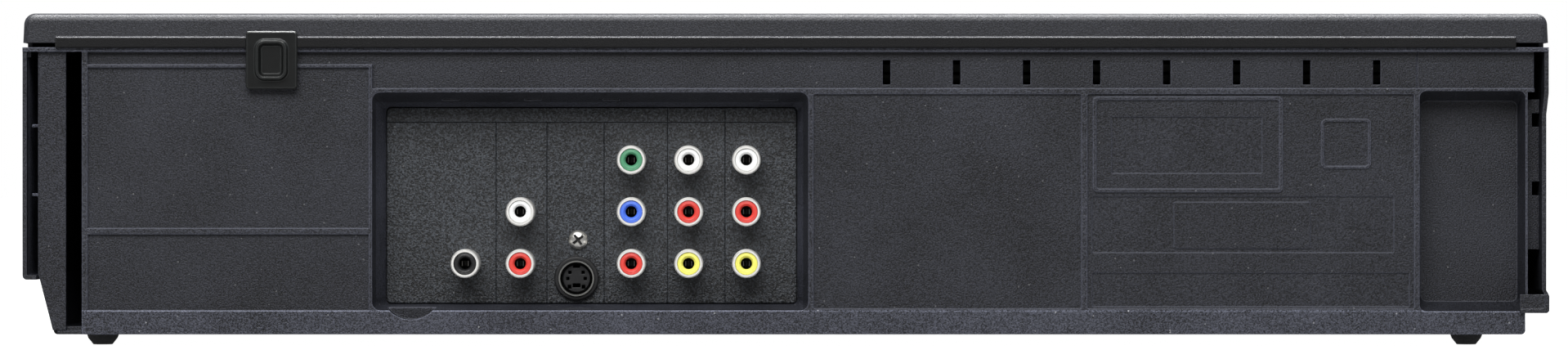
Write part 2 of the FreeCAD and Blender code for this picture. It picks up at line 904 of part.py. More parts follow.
def left_side_panel():
    """Skin with a turned-in lower lip, a flange on the pan's wall and a tongue inside the cover."""
    outer = half_width
    inner = half_width - skin
    shell = prism(
        "y",
        panel_back,
        rear_face,
        [
            (outer, left_skin_low, 1.2),
            (outer, body_top),
            (inner, body_top),
            (inner, left_skin_low + skin, 0.5),
            (outer - left_lip_reach, left_skin_low + skin),
            (outer - left_lip_reach, left_skin_low),
        ],
    )
    flange = block(pan_left_wall - pan_wall, outer, panel_back, rim_back, body_top, rim_top)
    web = block(inner - 1.0, inner + 0.5, panel_back, rim_back, body_top - 1.5, body_top)
    tongue = block(tongue_outer - tongue_thick, tongue_outer, panel_back, rim_back, rim_top, side_tongue_top)
    return joined(shell, flange, web, tongue)


def right_side_panel():
    """Skin with a waist, a turned-in lower lip and a bracket that laps over the rear wall's corner."""
    outer = -half_width
    shell = prism(
        "y",
        panel_back,
        rear_face,
        [
            (outer, body_top),
            (outer, right_bulge_low),
            (outer + right_waist, right_waist_z),
            (outer + right_waist, right_flare_z + 1.2),
            (outer, right_flare_z),
            (outer, right_low, 1.0),
            (outer + right_lip_reach, right_low),
            (outer + right_lip_reach, right_low + skin),
            (outer + skin, right_low + skin),
            (outer + skin, right_flare_z),
            (outer + right_waist + skin, right_flare_z + 1.2),
            (outer + right_waist + skin, right_waist_z),
            (outer + skin, right_bulge_low),
            (outer + skin, body_top),
        ],
    )
    bracket = prism(
        "y",
        rear_face - bracket_root,
        rear_face + bracket_stand_out,
        [
            (outer, right_low, 1.0),
            (outer + bracket_reach, right_low, 0.4),
            (outer + bracket_reach, right_flare_z),
            (outer, right_flare_z, 0.6),
        ],
    )
    hollow = prism(
        "y",
        rear_face + bracket_floor,
        rear_face + bracket_stand_out + 1,
        [
            (outer + skin, right_low + skin, 1.4),
            (outer + bracket_reach + 1, right_low + skin),
            (outer + bracket_reach + 1, right_flare_z + 1),
            (outer + skin, right_flare_z + 1),
        ],
    )
    bracket = bracket.cut(hollow)
    wall_corner = block(
        wall_right - fit_gap,
        wall_right + 30,
        rear_face - 20,
        rear_face + fit_gap,
        right_low - 1,
        right_flare_z + 1,
    )
    bracket = bracket.cut(wall_corner)
    flange = block(outer, pan_right_wall + pan_wall, panel_back, rim_back, body_top, rim_top)
    tongue_in = -tongue_outer + tongue_thick
    tongue = block(-tongue_outer, tongue_in, panel_back, rim_back, rim_top, side_tongue_top)
    return joined(shell, bracket, flange, tongue)


def top_cover():
    """Shallow pan with drafted sides, rounded edges and a lip bar along its rear skirt."""
    rear = rear_face + cover_overhang
    front = panel_back + fit_gap
    outer = prism(
        "y",
        front,
        rear,
        [
            (-half_width, skirt_bottom),
            (-half_width + cover_draft, height, cover_corner),
            (half_width - cover_draft, height, cover_corner),
            (half_width, skirt_bottom),
        ],
    )
    rear_edges = [e for e in outer.Edges if e.BoundBox.YMin > rear - 0.01]
    top_rear = [e for e in rear_edges if e.BoundBox.ZMin > height - cover_corner - 0.2]
    outer = outer.makeFillet(cover_rear_round, top_rear)
    inner = prism(
        "y",
        front - 1,
        rear - cover_wall,
        [
            (-half_width + cover_wall, skirt_bottom - 1),
            (-half_width + cover_wall, cover_inside, cover_corner - cover_wall),
            (half_width - cover_wall, cover_inside, cover_corner - cover_wall),
            (half_width - cover_wall, skirt_bottom - 1),
        ],
    )
    shell = outer.cut(inner)
    lip_low = skirt_bottom - lip_drop
    lip_back = rear + lip_stand_out
    lip = block(-lip_half_width, lip_half_width, rear, lip_back, lip_low, lip_low + lip_height)
    lip = lip.makeChamfer(lip_bevel, [e for e in lip.Edges if e.BoundBox.YMin > lip_back - 0.01])
    slot = bushing_slot(fit_gap, rear - 3, rear + 3, bushing_neck_high + fit_gap)
    plate_room = block(
        bushing_x - bushing_plate_half - fit_gap,
        bushing_x + bushing_plate_half + fit_gap,
        rear,
        rear + 3,
        0,
        height,
    )
    return carved(joined(shell, lip), slot, plate_room)


def cord_bushing():
    """Clamped moulding: plates outside and inside the slotted wall, sloping ring dished in the middle."""
    rear = rear_face + cover_overhang
    front = rear + bushing_plate_thick
    left = bushing_x - bushing_plate_half
    right = bushing_x + bushing_plate_half
    low = bushing_plate_low
    plate = prism("y", rear, front, rect(left, right, low, bushing_plate_high, bushing_corner))
    edges = [e for e in plate.Edges if e.BoundBox.YMin > front - 0.01]
    plate = plate.makeChamfer(bushing_plate_bevel, edges)
    below_rim = rect(left, right, low, body_top - fit_gap, bushing_corner)
    low_plate = prism("y", rear_face + fit_gap, rear, below_rim)

    def ring_outline(inset):
        """Outline of the ring, inset all round."""
        return rect(
            bushing_x - bushing_ring_half + inset,
            bushing_x + bushing_ring_half - inset,
            bushing_ring_low + inset,
            bushing_ring_high - inset,
            bushing_ring_corner - inset,
        )

    top = depth / 2
    crest = bushing_ring_slope + bushing_ring_crest
    floor = top - bushing_dish_depth
    ring = drafted("y", front - 0.2, ring_outline(0), top, ring_outline(bushing_ring_slope))
    dish = drafted("y", floor, ring_outline(crest + bushing_dish_slope), top, ring_outline(crest))
    neck = bushing_slot(0, rear_face - rear_wall - 0.1, rear + 0.5, bushing_neck_high)
    back_end = rear_face - rear_wall - 0.1
    back_plate = rect(left, right, low, bushing_neck_high, bushing_corner)
    back = prism("y", back_end - bushing_back_thick, back_end, back_plate)
    return joined(plate, low_plate, ring, neck, back).cut(dish)


# Jacks: twelve pin jacks in columns on the jack panel, a round video socket and one screw
row_low = 23.65
row_pitch = 14.8
shell_radius = 4.125
shell_wall = 0.85
shell_reach = 9.3
shell_back = bay_floor + fit_gap
shell_front = bay_floor + shell_reach
shell_bevel = 0.3
insert_radius = shell_radius - shell_wall
insert_sink = 0.25
pin_bore = 1.6
insert_floor = 1.5
contact_wall = 0.22
contact_half = 0.7
contact_sink = 2.2
jack_hole = insert_radius + fit_gap
rows = [row_low + i * row_pitch for i in range(3)]
column_coax = 91.55
column_audio = 75.8
column_component = 44.1
column_out = 27.7
column_in = 11.2
jack_columns = (
    (column_coax, (("black", 0),)),
    (column_audio, (("red", 0), ("white", 1))),
    (column_component, (("red", 0), ("blue", 1), ("green", 2))),
    (column_out, (("yellow", 0), ("red", 1), ("white", 2))),
    (column_in, (("yellow", 0), ("red", 1), ("white", 2))),
)
block_half = 5.2
block_depth = 11.5
block_back = bay_back - block_depth
block_rise = 6.0
line_row = bay_high - 8.45
line_half = 0.16
line_sink = 0.25
line_columns = (83.1, 68.5, 52.1)
line_columns_high = (33.9, 17.4)
socket_x = 60.0
socket_z = 19.3
socket_flange = 6.4
socket_flange_thick = 1.3
socket_body = 5.9
socket_bore = 5.15
shield_radius = 5.1
shield_wall = 0.45
shield_front = bay_floor + 2.2
socket_floor = bay_floor - 6.0
socket_insert = 3.9
socket_body_long = 8.0
socket_half = 5.0
socket_gap = 0.3
screw_x = 59.55
screw_z = 30.35
panel_screw_head = 2.8
panel_screw_tab = 3.2
panel_screw_long = 6.0


def jack_panel():
    """Flat plate: its face fills the bay's frame but for a thin line and its flange lies behind the frame."""
    face = prism("y", bay_back, bay_floor, bay_outline(jack_panel_line, 1))
    flange = prism("y", bay_back, bay_frame_end - fit_gap, bay_outline(slide_gap - bay_wall, 1))
    left = bay_left - bay_side_inset + 1
    right = bay_right + bay_side_inset - 1
    top = bay_high - bay_top_inset + 1

    def line(x0, x1, z0, z1):
        """Fine groove in the face."""
        return block(x0, x1, bay_floor - line_sink, bay_floor + 1, z0, z1)

    tools = [line(right, left, line_row - line_half, line_row + line_half)]
    for x in line_columns:
        tools.append(line(x - line_half, x + line_half, bay_low, line_row))
    for x in line_columns_high:
        tools.append(line(x - line_half, x + line_half, bay_low, top))
    for x, jacks in jack_columns:
        for colour, row in jacks:
            tools.append(rod("y", bay_back - 2, bay_floor + 2, x, rows[row], jack_hole))
    tools.append(rod("y", bay_back - 2, bay_floor + 2, socket_x, socket_z, socket_body + fit_gap))
    tools.append(rod("y", bay_back - 2, bay_floor + 2, screw_x, screw_z, screw_hole))
    return carved(joined(face, flange), *tools)


def rca_shell(x, z):
    """Metal sleeve round the insulator, its foot on the jack panel and its front edge bevelled."""
    sleeve = rod("y", shell_back, shell_front, x, z, shell_radius)
    front = [e for e in sleeve.Edges if e.BoundBox.YMin > shell_front - 0.01]
    sleeve = sleeve.makeChamfer(shell_bevel, front)
    return sleeve.cut(rod("y", shell_back - 1, shell_front + 1, x, z, insert_radius))


def rca_insert(x, z):
    """Coloured insulator with the pin's way through it."""
    front = shell_front - insert_sink
    body = rod("y", bay_back, front, x, z, insert_radius - 0.02)
    return body.cut(rod("y", bay_back + insert_floor, front + 1, x, z, pin_bore))


def rca_contact(x, z):
    """Fork of two leaf springs at the bottom of the pin's way, bent towards each other and flared."""
    back = bay_back + insert_floor
    front = shell_front - contact_sink
    leaves = []
    for side in (-1, 1):
        steps = ((back, 1.1), (back + 2, 1.1), (front - 1.2, 0.25), (front, 0.75))
        inner = [(x + side * off, y) for y, off in steps]
        outer = [(x + side * (off + contact_wall), y) for y, off in reversed(steps)]
        leaves.append(prism("z", z - contact_half, z + contact_half, inner + outer))
    reach = 1.1 + contact_wall
    base = block(x - reach, x + reach, back, back + 0.6, z - contact_half, z + contact_half)
    return joined(base, *leaves)


def rca_blocks():
    """Moulded jack blocks behind the jack panel, one a column, standing on the board."""
    solids = []
    for x, jacks in jack_columns:
        top = rows[jacks[-1][1]] + block_rise
        body = block(x - block_half, x + block_half, block_back, bay_back, board_top, top)
        solids.append(body)
    return solids


def svideo_socket():
    """Round housing: flange on the jack panel, squarer body behind it and a tab for the panel's screw."""
    flange = rod("y", bay_floor, bay_floor + socket_flange_thick, socket_x, socket_z, socket_flange)
    rim = [e for e in flange.Edges if e.BoundBox.YMin > bay_floor + 0.5]
    flange = flange.makeChamfer(0.4, rim)
    back = bay_back - socket_body_long
    body = rod("y", back, bay_floor + 0.2, socket_x, socket_z, socket_body)
    front = bay_back - socket_gap
    foot_block = block(socket_x - socket_half, socket_x + socket_half, back, front, board_top, socket_z)
    half = panel_screw_tab
    tab = block(screw_x - half, screw_x + half, back, front, socket_z, screw_z + half)
    solid = joined(flange, body, foot_block, tab)
    return carved(
        solid,
        rod("y", socket_floor, bay_floor + 5, socket_x, socket_z, socket_bore),
        rod("y", back - 1, front + 1, screw_x, screw_z, screw_hole),
    )


def svideo_insert():
    """Insulator with four pin holes, a key slot and two side slots."""
    low = socket_floor
    high = bay_floor + 0.6
    body = rod("y", low, high, socket_x, socket_z, socket_insert)
    tools = []
    for side in (-1, 1):
        for dx, dz in ((1.9, 1.7), (2.5, -0.1)):
            x = socket_x + side * dx
            z = socket_z + dz
            tools.append(block(x - 0.45, x + 0.45, high - 4, high + 1, z - 0.45, z + 0.45))
        tools.append(block(socket_x + side * 2.0 - 0.5, socket_x + side * 2.0 + 0.5, high - 4, high + 1,
                           socket_z - 3.0, socket_z - 1.9))
    tools.append(block(socket_x - 1.1, socket_x + 1.1, high - 4, high + 1, socket_z - 2.6, socket_z - 1.5))
    tools.append(block(socket_x - 1.0, socket_x + 1.0, high - 4, high + 1, socket_z + 3.0, socket_z + 5))
    return body.cut(tools)


def panel_screw():
    """Pan-head screw with a cross recess, driven through the jack panel into the socket's tab."""
    head = rod("y", bay_floor, bay_floor + 1.7, screw_x, screw_z, panel_screw_head)
    edge = [e for e in head.Edges if e.BoundBox.YMin > bay_floor + 1]
    head = head.makeChamfer(0.8, edge)
    shank = rod("y", bay_back - panel_screw_long, bay_floor + 0.2, screw_x, screw_z, screw_shank)
    cuts = []
    for turn in (45, 135):
        blade = block(-1.7, 1.7, bay_floor + 0.7, bay_floor + 3, -0.35, 0.35)
        blade.rotate(Vector(0, 0, 0), Vector(0, 1, 0), turn + 8)
        blade.translate(Vector(screw_x, 0, screw_z))
        cuts.append(blade)
    return joined(head, shank).cut(cuts)


# Front panel with its openings, and what closes them
door_half = cassette_width / 2 + 1.6
door_opening = door_half + 0.4
door_low = 50.0
door_high = 82.0
door_gap = 0.4
door_low_gap = 0.6
door_thick = 2.2
door_pin = 1.25
door_pin_y = panel_inner + 2.4
door_pin_z = door_high - 2.4
door_boss = 2.1
lug_thick = 2.4
fascia_half = 75.0
fascia_low = 54.8
fascia_high = 73.2
fascia_gap = 0.35
fascia_thick = 2.2
window_right = half_width - 33.5
window_width = 148.0
window_left = window_right - window_width
window_low = 30.0
window_high = 48.0
window_thick = 2.0
window_step = 1.2
panel_corner_top = 3.2
panel_corner_low = 6.0
front_bevel = 0.9
button_bevel = 0.4
button_travel = 0.8
button_flange = 1.0
button_stem = 1.8
key_pitch = 28.0
disc_keys_x = half_width - 43.5
tape_keys_x = -20.0
# Middle, width, height and corner of each key
buttons = {
    "power_button": (27.5 - half_width, 28.0, 14.0, 14.0, 6.9),
    "eject_button": (tape_keys_x, 30.0, 18.0, 7.0, 2.0),
    "record_button": (tape_keys_x - key_pitch, 30.0, 18.0, 7.0, 2.0),
    "open_close_button": (disc_keys_x, 17.0, 18.0, 7.0, 2.0),
    "play_button": (disc_keys_x - key_pitch, 17.0, 18.0, 7.0, 2.0),
    "stop_button": (disc_keys_x - 2 * key_pitch, 17.0, 18.0, 7.0, 2.0),
}
button_stem_end = panel_inner + 3.0
switch_gap = 0.15
switch_high = 3.0
switch_half = 3.0
front_board_front = button_stem_end + button_travel + switch_gap + switch_high
front_board_thick = 1.6
display_half = 48.0
display_rise = 5.0
front_board_low = 9.0
front_board_high = 38.0
front_board_left = half_width - 17.5
front_board_right = 13.5 - half_width
panel_boss_x = (-165.0, -90.0, 10.0, 90.0, 160.0)
panel_boss_z = front_board_low + 3.5


def front_panel():
    """Moulded box open to the back, with slots for cassette, tray and window and a hole for each button."""

    def shape(low, high, inset):
        """Panel outline, set in all round, between two planes."""
        corners = [
            (-half_width + inset, floor_low + inset, panel_corner_low - inset * 0.6),
            (half_width - inset, floor_low + inset, panel_corner_low - inset * 0.6),
            (half_width - inset, height - inset, panel_corner_top - inset * 0.6),
            (-half_width + inset, height - inset, panel_corner_top - inset * 0.6),
        ]
        return prism("y", low, high, corners)

    shell = shape(front_face, panel_back, 0)
    front_edge = [e for e in shell.Edges if e.BoundBox.YMax < front_face + 0.01]
    shell = shell.makeChamfer(front_bevel, front_edge)
    shell = shell.cut(shape(panel_inner, panel_back + 1, panel_wall))
    lug_x = [-door_opening - lug_thick, door_opening]
    adds = []
    for x in lug_x:
        lug = prism(
            "x",
            deck_x + x,
            deck_x + x + lug_thick,
            [
                (panel_inner - 0.5, door_pin_z - 3.5),
                (door_pin_y + 2.6, door_pin_z - 3.5, 2.0),
                (door_pin_y + 2.6, door_pin_z + 3.5, 2.0),
                (panel_inner - 0.5, door_pin_z + 3.5),
            ],
        )
        adds.append(lug)
    for x in panel_boss_x:
        half = stand_half
        low = panel_boss_z - half
        adds.append(block(x - half, x + half, panel_inner - 0.5, front_board_front, low, low + 2 * half))
    for x in tab_x:
        y0 = panel_back - 3
        y1 = panel_back + front_tab_depth
        half = tab_width / 2
        low = floor_top + tab_gap
        adds.append(block(x - half, x + half, y0, y1, low, low + tab_thick))
    solid = joined(shell, *adds)
    back = panel_inner + 1
    front = front_face - 1
    tools = [
        prism("y", front, back, rect(deck_x - door_opening, deck_x + door_opening, door_low, door_high, 0.6)),
        prism(
            "y",
            front,
            back,
            rect(
                tray_x - fascia_half - fascia_gap,
                tray_x + fascia_half + fascia_gap,
                fascia_low - fascia_gap,
                fascia_high + fascia_gap,
                1.2,
            ),
        ),
        prism(
            "y",
            front,
            front_face + window_thick,
            rect(window_left, window_right, window_low, window_high, 2.0),
        ),
        prism(
            "y",
            front,
            back,
            rect(
                window_left + window_step,
                window_right - window_step,
                window_low + window_step,
                window_high - window_step,
                1.0,
            ),
        ),
        rod(
            "x",
            deck_x - door_opening - 5,
            deck_x + door_opening + 5,
            door_pin_y,
            door_pin_z,
            door_pin + running_gap,
        ),
    ]
    for x, z, w, h, r in buttons.values():
        grow = slide_gap
        corners = rect(x - w / 2 - grow, x + w / 2 + grow, z - h / 2 - grow, z + h / 2 + grow, r)
        tools.append(prism("y", front, back, corners))
    for x in tab_x:
        tools.append(rod("z", floor_low, floor_top + tab_gap + tab_thick + 1, x, front_screw_y, screw_hole))
    groove = half_width - tongue_outer
    for x0 in (-half_width - 1, half_width - groove):
        tools.append(block(x0, x0 + groove + 1, front_face + 6, panel_back + 1, rim_top, skirt_bottom))
    return carved(solid, *tools)


def push_button(x, z, w, h, r):
    """Key with a crowned edge, a flange that keeps it in, and a stem to the switch."""
    face = front_face - button_stand_out
    key = prism("y", face, panel_inner + 0.6, rect(x - w / 2, x + w / 2, z - h / 2, z + h / 2, r))
    edge = [e for e in key.Edges if e.BoundBox.YMax < face + 0.01]
    key = key.makeChamfer(button_bevel, edge)
    half = w / 2 + button_flange
    rise = h / 2 + button_flange
    flange = block(x - half, x + half, panel_inner + 0.2, panel_inner + 1.4, z - rise, z + rise)
    stem = button_stem
    bar = block(x - stem, x + stem, panel_inner + 1, button_stem_end, z - stem, z + stem)
    return joined(key, flange, bar)


def cassette_door():
    """Flap hinged at its upper edge on two pins."""
    half = door_opening - door_gap
    face = front_face - 0.2
    plate = prism(
        "x",
        deck_x - half,
        deck_x + half,
        [
            (face, door_low + door_low_gap, 0.6),
            (face, door_high - door_gap, 0.6),
            (face + door_thick, door_high - door_gap),
            (face + door_thick, door_low + door_low_gap),
        ],
    )
    boss = rod("x", deck_x - half, deck_x + half, door_pin_y, door_pin_z, door_boss)
    web = block(
        deck_x - half,
        deck_x + half,
        face + door_thick - 0.3,
        door_pin_y,
        door_pin_z - 1.2,
        door_pin_z + 1.2,
    )
    ends = door_opening + lug_thick - 0.2
    pin = rod("x", deck_x - ends, deck_x + ends, door_pin_y, door_pin_z, door_pin)
    inner = face + door_thick
    ribs = [
        block(deck_x + x - 0.6, deck_x + x + 0.6, inner - 0.2, inner + 1.2, door_low + 2, door_pin_z)
        for x in (-60, 0, 60)
    ]
    return joined(plate, boss, web, pin, *ribs)


def tray_front():
    """Flat bar with rounded edges on the tray's front edge."""
    face = front_face - 0.4
    corners = rect(tray_x - fascia_half, tray_x + fascia_half, fascia_low, fascia_high, 1.0)
    bar = prism("y", face, face + fascia_thick, corners)
    edge = [e for e in bar.Edges if e.BoundBox.YMax < face + 0.01]
    return bar.makeChamfer(button_bevel, edge)


def disc_tray():
    """Plate with two disc steps, a window for spindle and pickup, side rims and a rack below."""
    front = front_face - 0.4 + fascia_thick
    left = tray_x + tray_half
    right = tray_x - tray_half
    plate = prism("z", tray_low, tray_low + tray_plate, rect(right, left, front, tray_back, 0.0))
    rims = [
        block(right, right + tray_rim_wall, front, tray_back, tray_low, tray_low + tray_rim),
        block(left - tray_rim_wall, left, front, tray_back, tray_low, tray_low + tray_rim),
        block(right, left, front, front + 3.0, tray_low, tray_low + tray_rim),
    ]
    top = tray_low + tray_plate
    rack_bar = rack(rack_line, 1, rack_front, rack_rear, rack_low, tray_low, 2.0, gear_y)
    tray = joined(plate, *rims, rack_bar)
    window = rect(tray_x - window_half, tray_x + window_half, window_front, window_rear, window_corner)
    slot_front = window_rear + tray_slot_gap
    slot_rear = tray_back - tray_slot_end
    slot = rect(tray_x - tray_slot_half, tray_x + tray_slot_half, slot_front, slot_rear, tray_slot_corner)
    above = tray_low + tray_rim + 1
    return carved(
        tray,
        rod("z", top - disc_recess_depth, above, tray_x, disc_y, disc_recess),
        rod("z", top - disc_recess_depth - small_recess_depth, above, tray_x, disc_y, small_recess),
        prism("z", tray_low - 1, above, window),
        prism("z", tray_low - 1, above, slot),
    )


def loader_frame():
    """Trough between two walls, with ledges under the tray's edges, lugs over them and pins for the gears."""
    outer = loader_half
    inner = loader_half - loader_wall
    floor = block(tray_x - outer, tray_x + outer, loader_front, loader_rear, loader_floor_low, loader_floor)
    adds = []
    for side in (-1, 1):
        x0 = tray_x + min(side * inner, side * outer)
        wall = block(x0, x0 + loader_wall, loader_front, loader_rear, loader_floor_low, loader_top)
        x1 = side * (inner - ledge_width)
        low = min(side * inner, x1)
        ledge = block(
            tray_x + low,
            tray_x + low + ledge_width,
            loader_front,
            loader_rear - 10,
            tray_low - slide_gap - ledge_high,
            tray_low - slide_gap,
        )
        adds += [wall, ledge]
        for y in (loader_front + 4, disc_y - 20, disc_y + 40, disc_y + 90):
            z = tray_low + tray_rim + slide_gap
            adds.append(block(tray_x + low, tray_x + low + ledge_width, y, y + 10, z, z + 2))
    back = loader_rear - loader_wall
    adds.append(block(tray_x - outer, tray_x + outer, back, loader_rear, loader_floor_low, loader_top))
    for x, high in ((tray_gear_x, pinion_high), (drive_x, wheel_high + 0.6)):
        adds.append(rod("z", loader_floor - 0.5, high, x, gear_y, gear_pin))
        adds.append(rod("z", loader_floor - 0.5, pulley_low - 0.2, x, gear_y, gear_pin + 2))
    solid = joined(floor, *adds)
    hole = floor_hole_inset
    tools = [
        block(
            traverse_left + hole,
            traverse_right - hole,
            traverse_front + hole,
            traverse_rear - hole,
            loader_floor_low - 1,
            loader_floor + 1,
        ),
        rod("z", loader_floor_low - 1, loader_floor + 1, motor_x, gear_y, 2.6),
    ]
    return carved(solid, *tools)


def tray_gear():
    """Double wheel: the large one is driven, the small one above meshes with the tray's rack."""
    wheel = gear(tray_wheel_teeth, tray_gear_x, gear_y, wheel_low, wheel_high, gear_bore, 0.0)
    pinion = gear(tray_gear_teeth, tray_gear_x, gear_y, pinion_low, pinion_high - 0.4, gear_bore, math.pi)
    neck = tube("z", wheel_high - 0.2, pinion_low + 0.2, tray_gear_x, gear_y, 6.0, gear_bore)
    sleeve = tube("z", pulley_low, wheel_low + 0.2, tray_gear_x, gear_y, 3.0, gear_bore)
    return joined(wheel, pinion, neck, sleeve)


def grooved_pulley(x, radius, bore, low, high):
    """Pulley with a square groove for the belt."""
    body = tube("z", low, high, x, gear_y, radius + groove_deep, bore)
    return body.cut(tube("z", groove_low, groove_high, x, gear_y, radius + groove_deep + 1, radius))


def drive_pulley():
    """Belt pulley below, pinion above."""
    pulley = grooved_pulley(drive_x, drive_pulley_radius, gear_bore, pulley_low, pulley_high)
    half_tooth = math.pi / drive_teeth
    pinion = gear(drive_teeth, drive_x, gear_y, wheel_low, wheel_high, gear_bore, math.pi + half_tooth)
    neck = tube("z", pulley_high - 0.2, wheel_low + 0.2, drive_x, gear_y, 4.0, gear_bore)
    return joined(pulley, pinion, neck)


def loading_belt():
    """Square belt round both pulleys: two arcs and their two outer tangents."""
    big = drive_pulley_radius + running_gap
    small = motor_pulley_radius + running_gap
    lean = math.asin((big - small) / belt_span)

    def loop(grow):
        """Belt outline, grown from the pulleys' grooves."""
        points = []
        for x, r, turn in ((drive_x, big + grow, 1), (motor_x, small + grow, -1)):
            away = math.pi / 2 - lean
            for angle in (away, math.pi if turn > 0 else 0.0, -away):
                points.append(at("z", 0, x + r * math.cos(angle), gear_y + r * math.sin(angle)))
        edges = [
            Part.Arc(points[0], points[1], points[2]).toShape(),
            Part.makeLine(points[2], points[5]),
            Part.Arc(points[5], points[4], points[3]).toShape(),
            Part.makeLine(points[3], points[0]),
        ]
        return Part.Face(Part.Wire(edges)).extrude(Vector(0, 0, belt_high))

    belt = loop(belt_wall).cut(loop(0))
    belt.translate(Vector(0, 0, groove_low + 0.2))
    return belt


def loading_motor():
    """Small can motor under the frame's floor, its shaft up through it."""
    can = rod("z", loader_floor_low - 17, loader_floor_low, motor_x, gear_y, 12.0)
    neck = rod("z", loader_floor_low - 0.5, loader_floor, motor_x, gear_y, 2.4)
    shaft = rod("z", loader_floor, pulley_high - 0.5, motor_x, gear_y, motor_shaft)
    return joined(can, neck, shaft)


def traverse_plate():
    """Plate with the pickup's window, end blocks for the rods and the sled gear's pin."""
    plate = prism(
        "z",
        traverse_low,
        traverse_top,
        rect(traverse_left, traverse_right, traverse_front, traverse_rear, 4.0),
    )
    adds = []
    tools = []
    for side in (-1, 1):
        x = tray_x + side * rod_offset
        for y in (rod_front - 1, rod_rear - rod_block_deep + 1):
            adds.append(
                block(
                    x - rod_block_half,
                    x + rod_block_half,
                    y,
                    y + rod_block_deep,
                    traverse_top - 0.5,
                    rod_z + rod_block_cap,
                )
            )
        tools.append(rod("y", rod_front, rod_rear, x, rod_z, rod_radius))
    adds.append(rod("z", traverse_top - 0.5, sled_high + 0.4, sled_x, sled_y, gear_pin))
    half = traverse_window_half
    window = rect(tray_x - half, tray_x + half, traverse_window_front, traverse_window_rear, 3.0)
    tools.append(prism("z", traverse_low - 1, traverse_top + 1, window))
    return carved(joined(plate, *adds), *tools)


def guide_rods():
    """Two polished rods, held in the end blocks."""
    return [rod("y", rod_front, rod_rear, tray_x + side * rod_offset, rod_z, rod_radius) for side in (-1, 1)]


def optical_pickup():
    """Die-cast sled on both rods, with the lens above, the block below and a rack at its side."""
    rear = pickup_front + pickup_length
    body = prism(
        "z",
        pickup_low,
        pickup_high,
        [
            (tray_x - pickup_half, pickup_front + 3, 2.0),
            (tray_x - 12, pickup_front, 3.0),
            (tray_x + 12, pickup_front, 3.0),
            (tray_x + pickup_half, pickup_front + 3, 2.0),
            (tray_x + pickup_half, rear, 2.0),
            (tray_x - pickup_half, rear, 2.0),
        ],
    )
    lens_y = pickup_front + lens_back
    carriage_top = pickup_high + carriage_high
    carriage = rod("z", pickup_high - 0.5, carriage_top, tray_x, lens_y, carriage_radius)
    lens = rod("z", carriage_top - 0.5, carriage_top + lens_high, tray_x, lens_y, lens_radius)
    keel_front = traverse_window_front + 1.5
    lower = block(tray_x - 14, tray_x + 14, keel_front, rear - 2, traverse_low + 0.2, pickup_low + 0.5)
    toothed = rack(sled_line, 1, sled_y - pickup_travel - 5.5, sled_y + 5.5, sled_low, sled_high, 1.4, sled_y)
    arm_end = sled_line - dedendum - 0.5
    arm = block(tray_x + pickup_half - 1, arm_end, pickup_front + 6, rear - 2, sled_low, sled_high)
    tools = [
        rod("y", pickup_front - 9, rear + 9, tray_x + side * rod_offset, rod_z, rod_radius + running_gap)
        for side in (-1, 1)
    ]
    return carved(joined(body, carriage, lens, lower, toothed, arm), *tools)


def sled_gear():
    """Wheel that drives the pickup's rack."""
    return gear(sled_teeth, sled_x, sled_y, sled_low, sled_high, gear_bore, math.pi)


def spindle_motor():
    """Flat motor base on the traverse plate."""
    base = rod("z", traverse_top, spindle_top - 1.5, tray_x, disc_y, spindle_radius)
    boss = rod("z", spindle_top - 2, spindle_top, tray_x, disc_y, 4.0)
    return joined(base, boss).cut(rod("z", traverse_top + 1, spindle_top + 1, tray_x, disc_y, gear_bore))


def turntable():
    """Rotor with the disc seat and a centring hub, on a shaft in the motor's boss."""
    seat = rod("z", turntable_low, seat_high, tray_x, disc_y, turntable_radius)
    hub = Part.makeCone(hub_radius, hub_radius - hub_cone, hub_high, Vector(tray_x, disc_y, seat_high))
    shaft = rod("z", traverse_top + 1.4, turntable_low + 0.5, tray_x, disc_y, gear_pin)
    return joined(seat, hub, shaft)


def clamp_bridge():
    """Bar across the frame's walls with a round hole over the spindle."""
    middle = prism(
        "z",
        loader_top,
        loader_top + bridge_thick,
        [
            (tray_x - loader_half, disc_y - bridge_half, 1.0),
            (tray_x - clamper_flange - 8, disc_y - bridge_half),
            (tray_x - clamper_flange, disc_y - clamper_flange - 4, 4.0),
            (tray_x + clamper_flange, disc_y - clamper_flange - 4, 4.0),
            (tray_x + clamper_flange + 8, disc_y - bridge_half),
            (tray_x + loader_half, disc_y - bridge_half, 1.0),
            (tray_x + loader_half, disc_y + bridge_half, 1.0),
            (tray_x + clamper_flange + 8, disc_y + bridge_half),
            (tray_x + clamper_flange, disc_y + clamper_flange + 4, 4.0),
            (tray_x - clamper_flange, disc_y + clamper_flange + 4, 4.0),
            (tray_x - clamper_flange - 8, disc_y + bridge_half),
            (tray_x - loader_half, disc_y + bridge_half, 1.0),
        ],
    )
    return middle.cut(rod("z", loader_top - 1, loader_top + 9, tray_x, disc_y, clamper_hole))


def disc_clamper():
    """Puck with a flange that rests on the bridge and a hollow for the turntable's hub."""
    top = loader_top + bridge_thick + fit_gap
    puck = rod("z", clamper_low, top + 0.2, tray_x, disc_y, clamper_neck)
    flange = rod("z", top, top + clamper_flange_thick, tray_x, disc_y, clamper_flange)
    hollow = rod("z", clamper_low - 1, clamper_low + clamper_hollow, tray_x, disc_y, hub_radius + 1.0)
    return joined(puck, flange).cut(hollow)


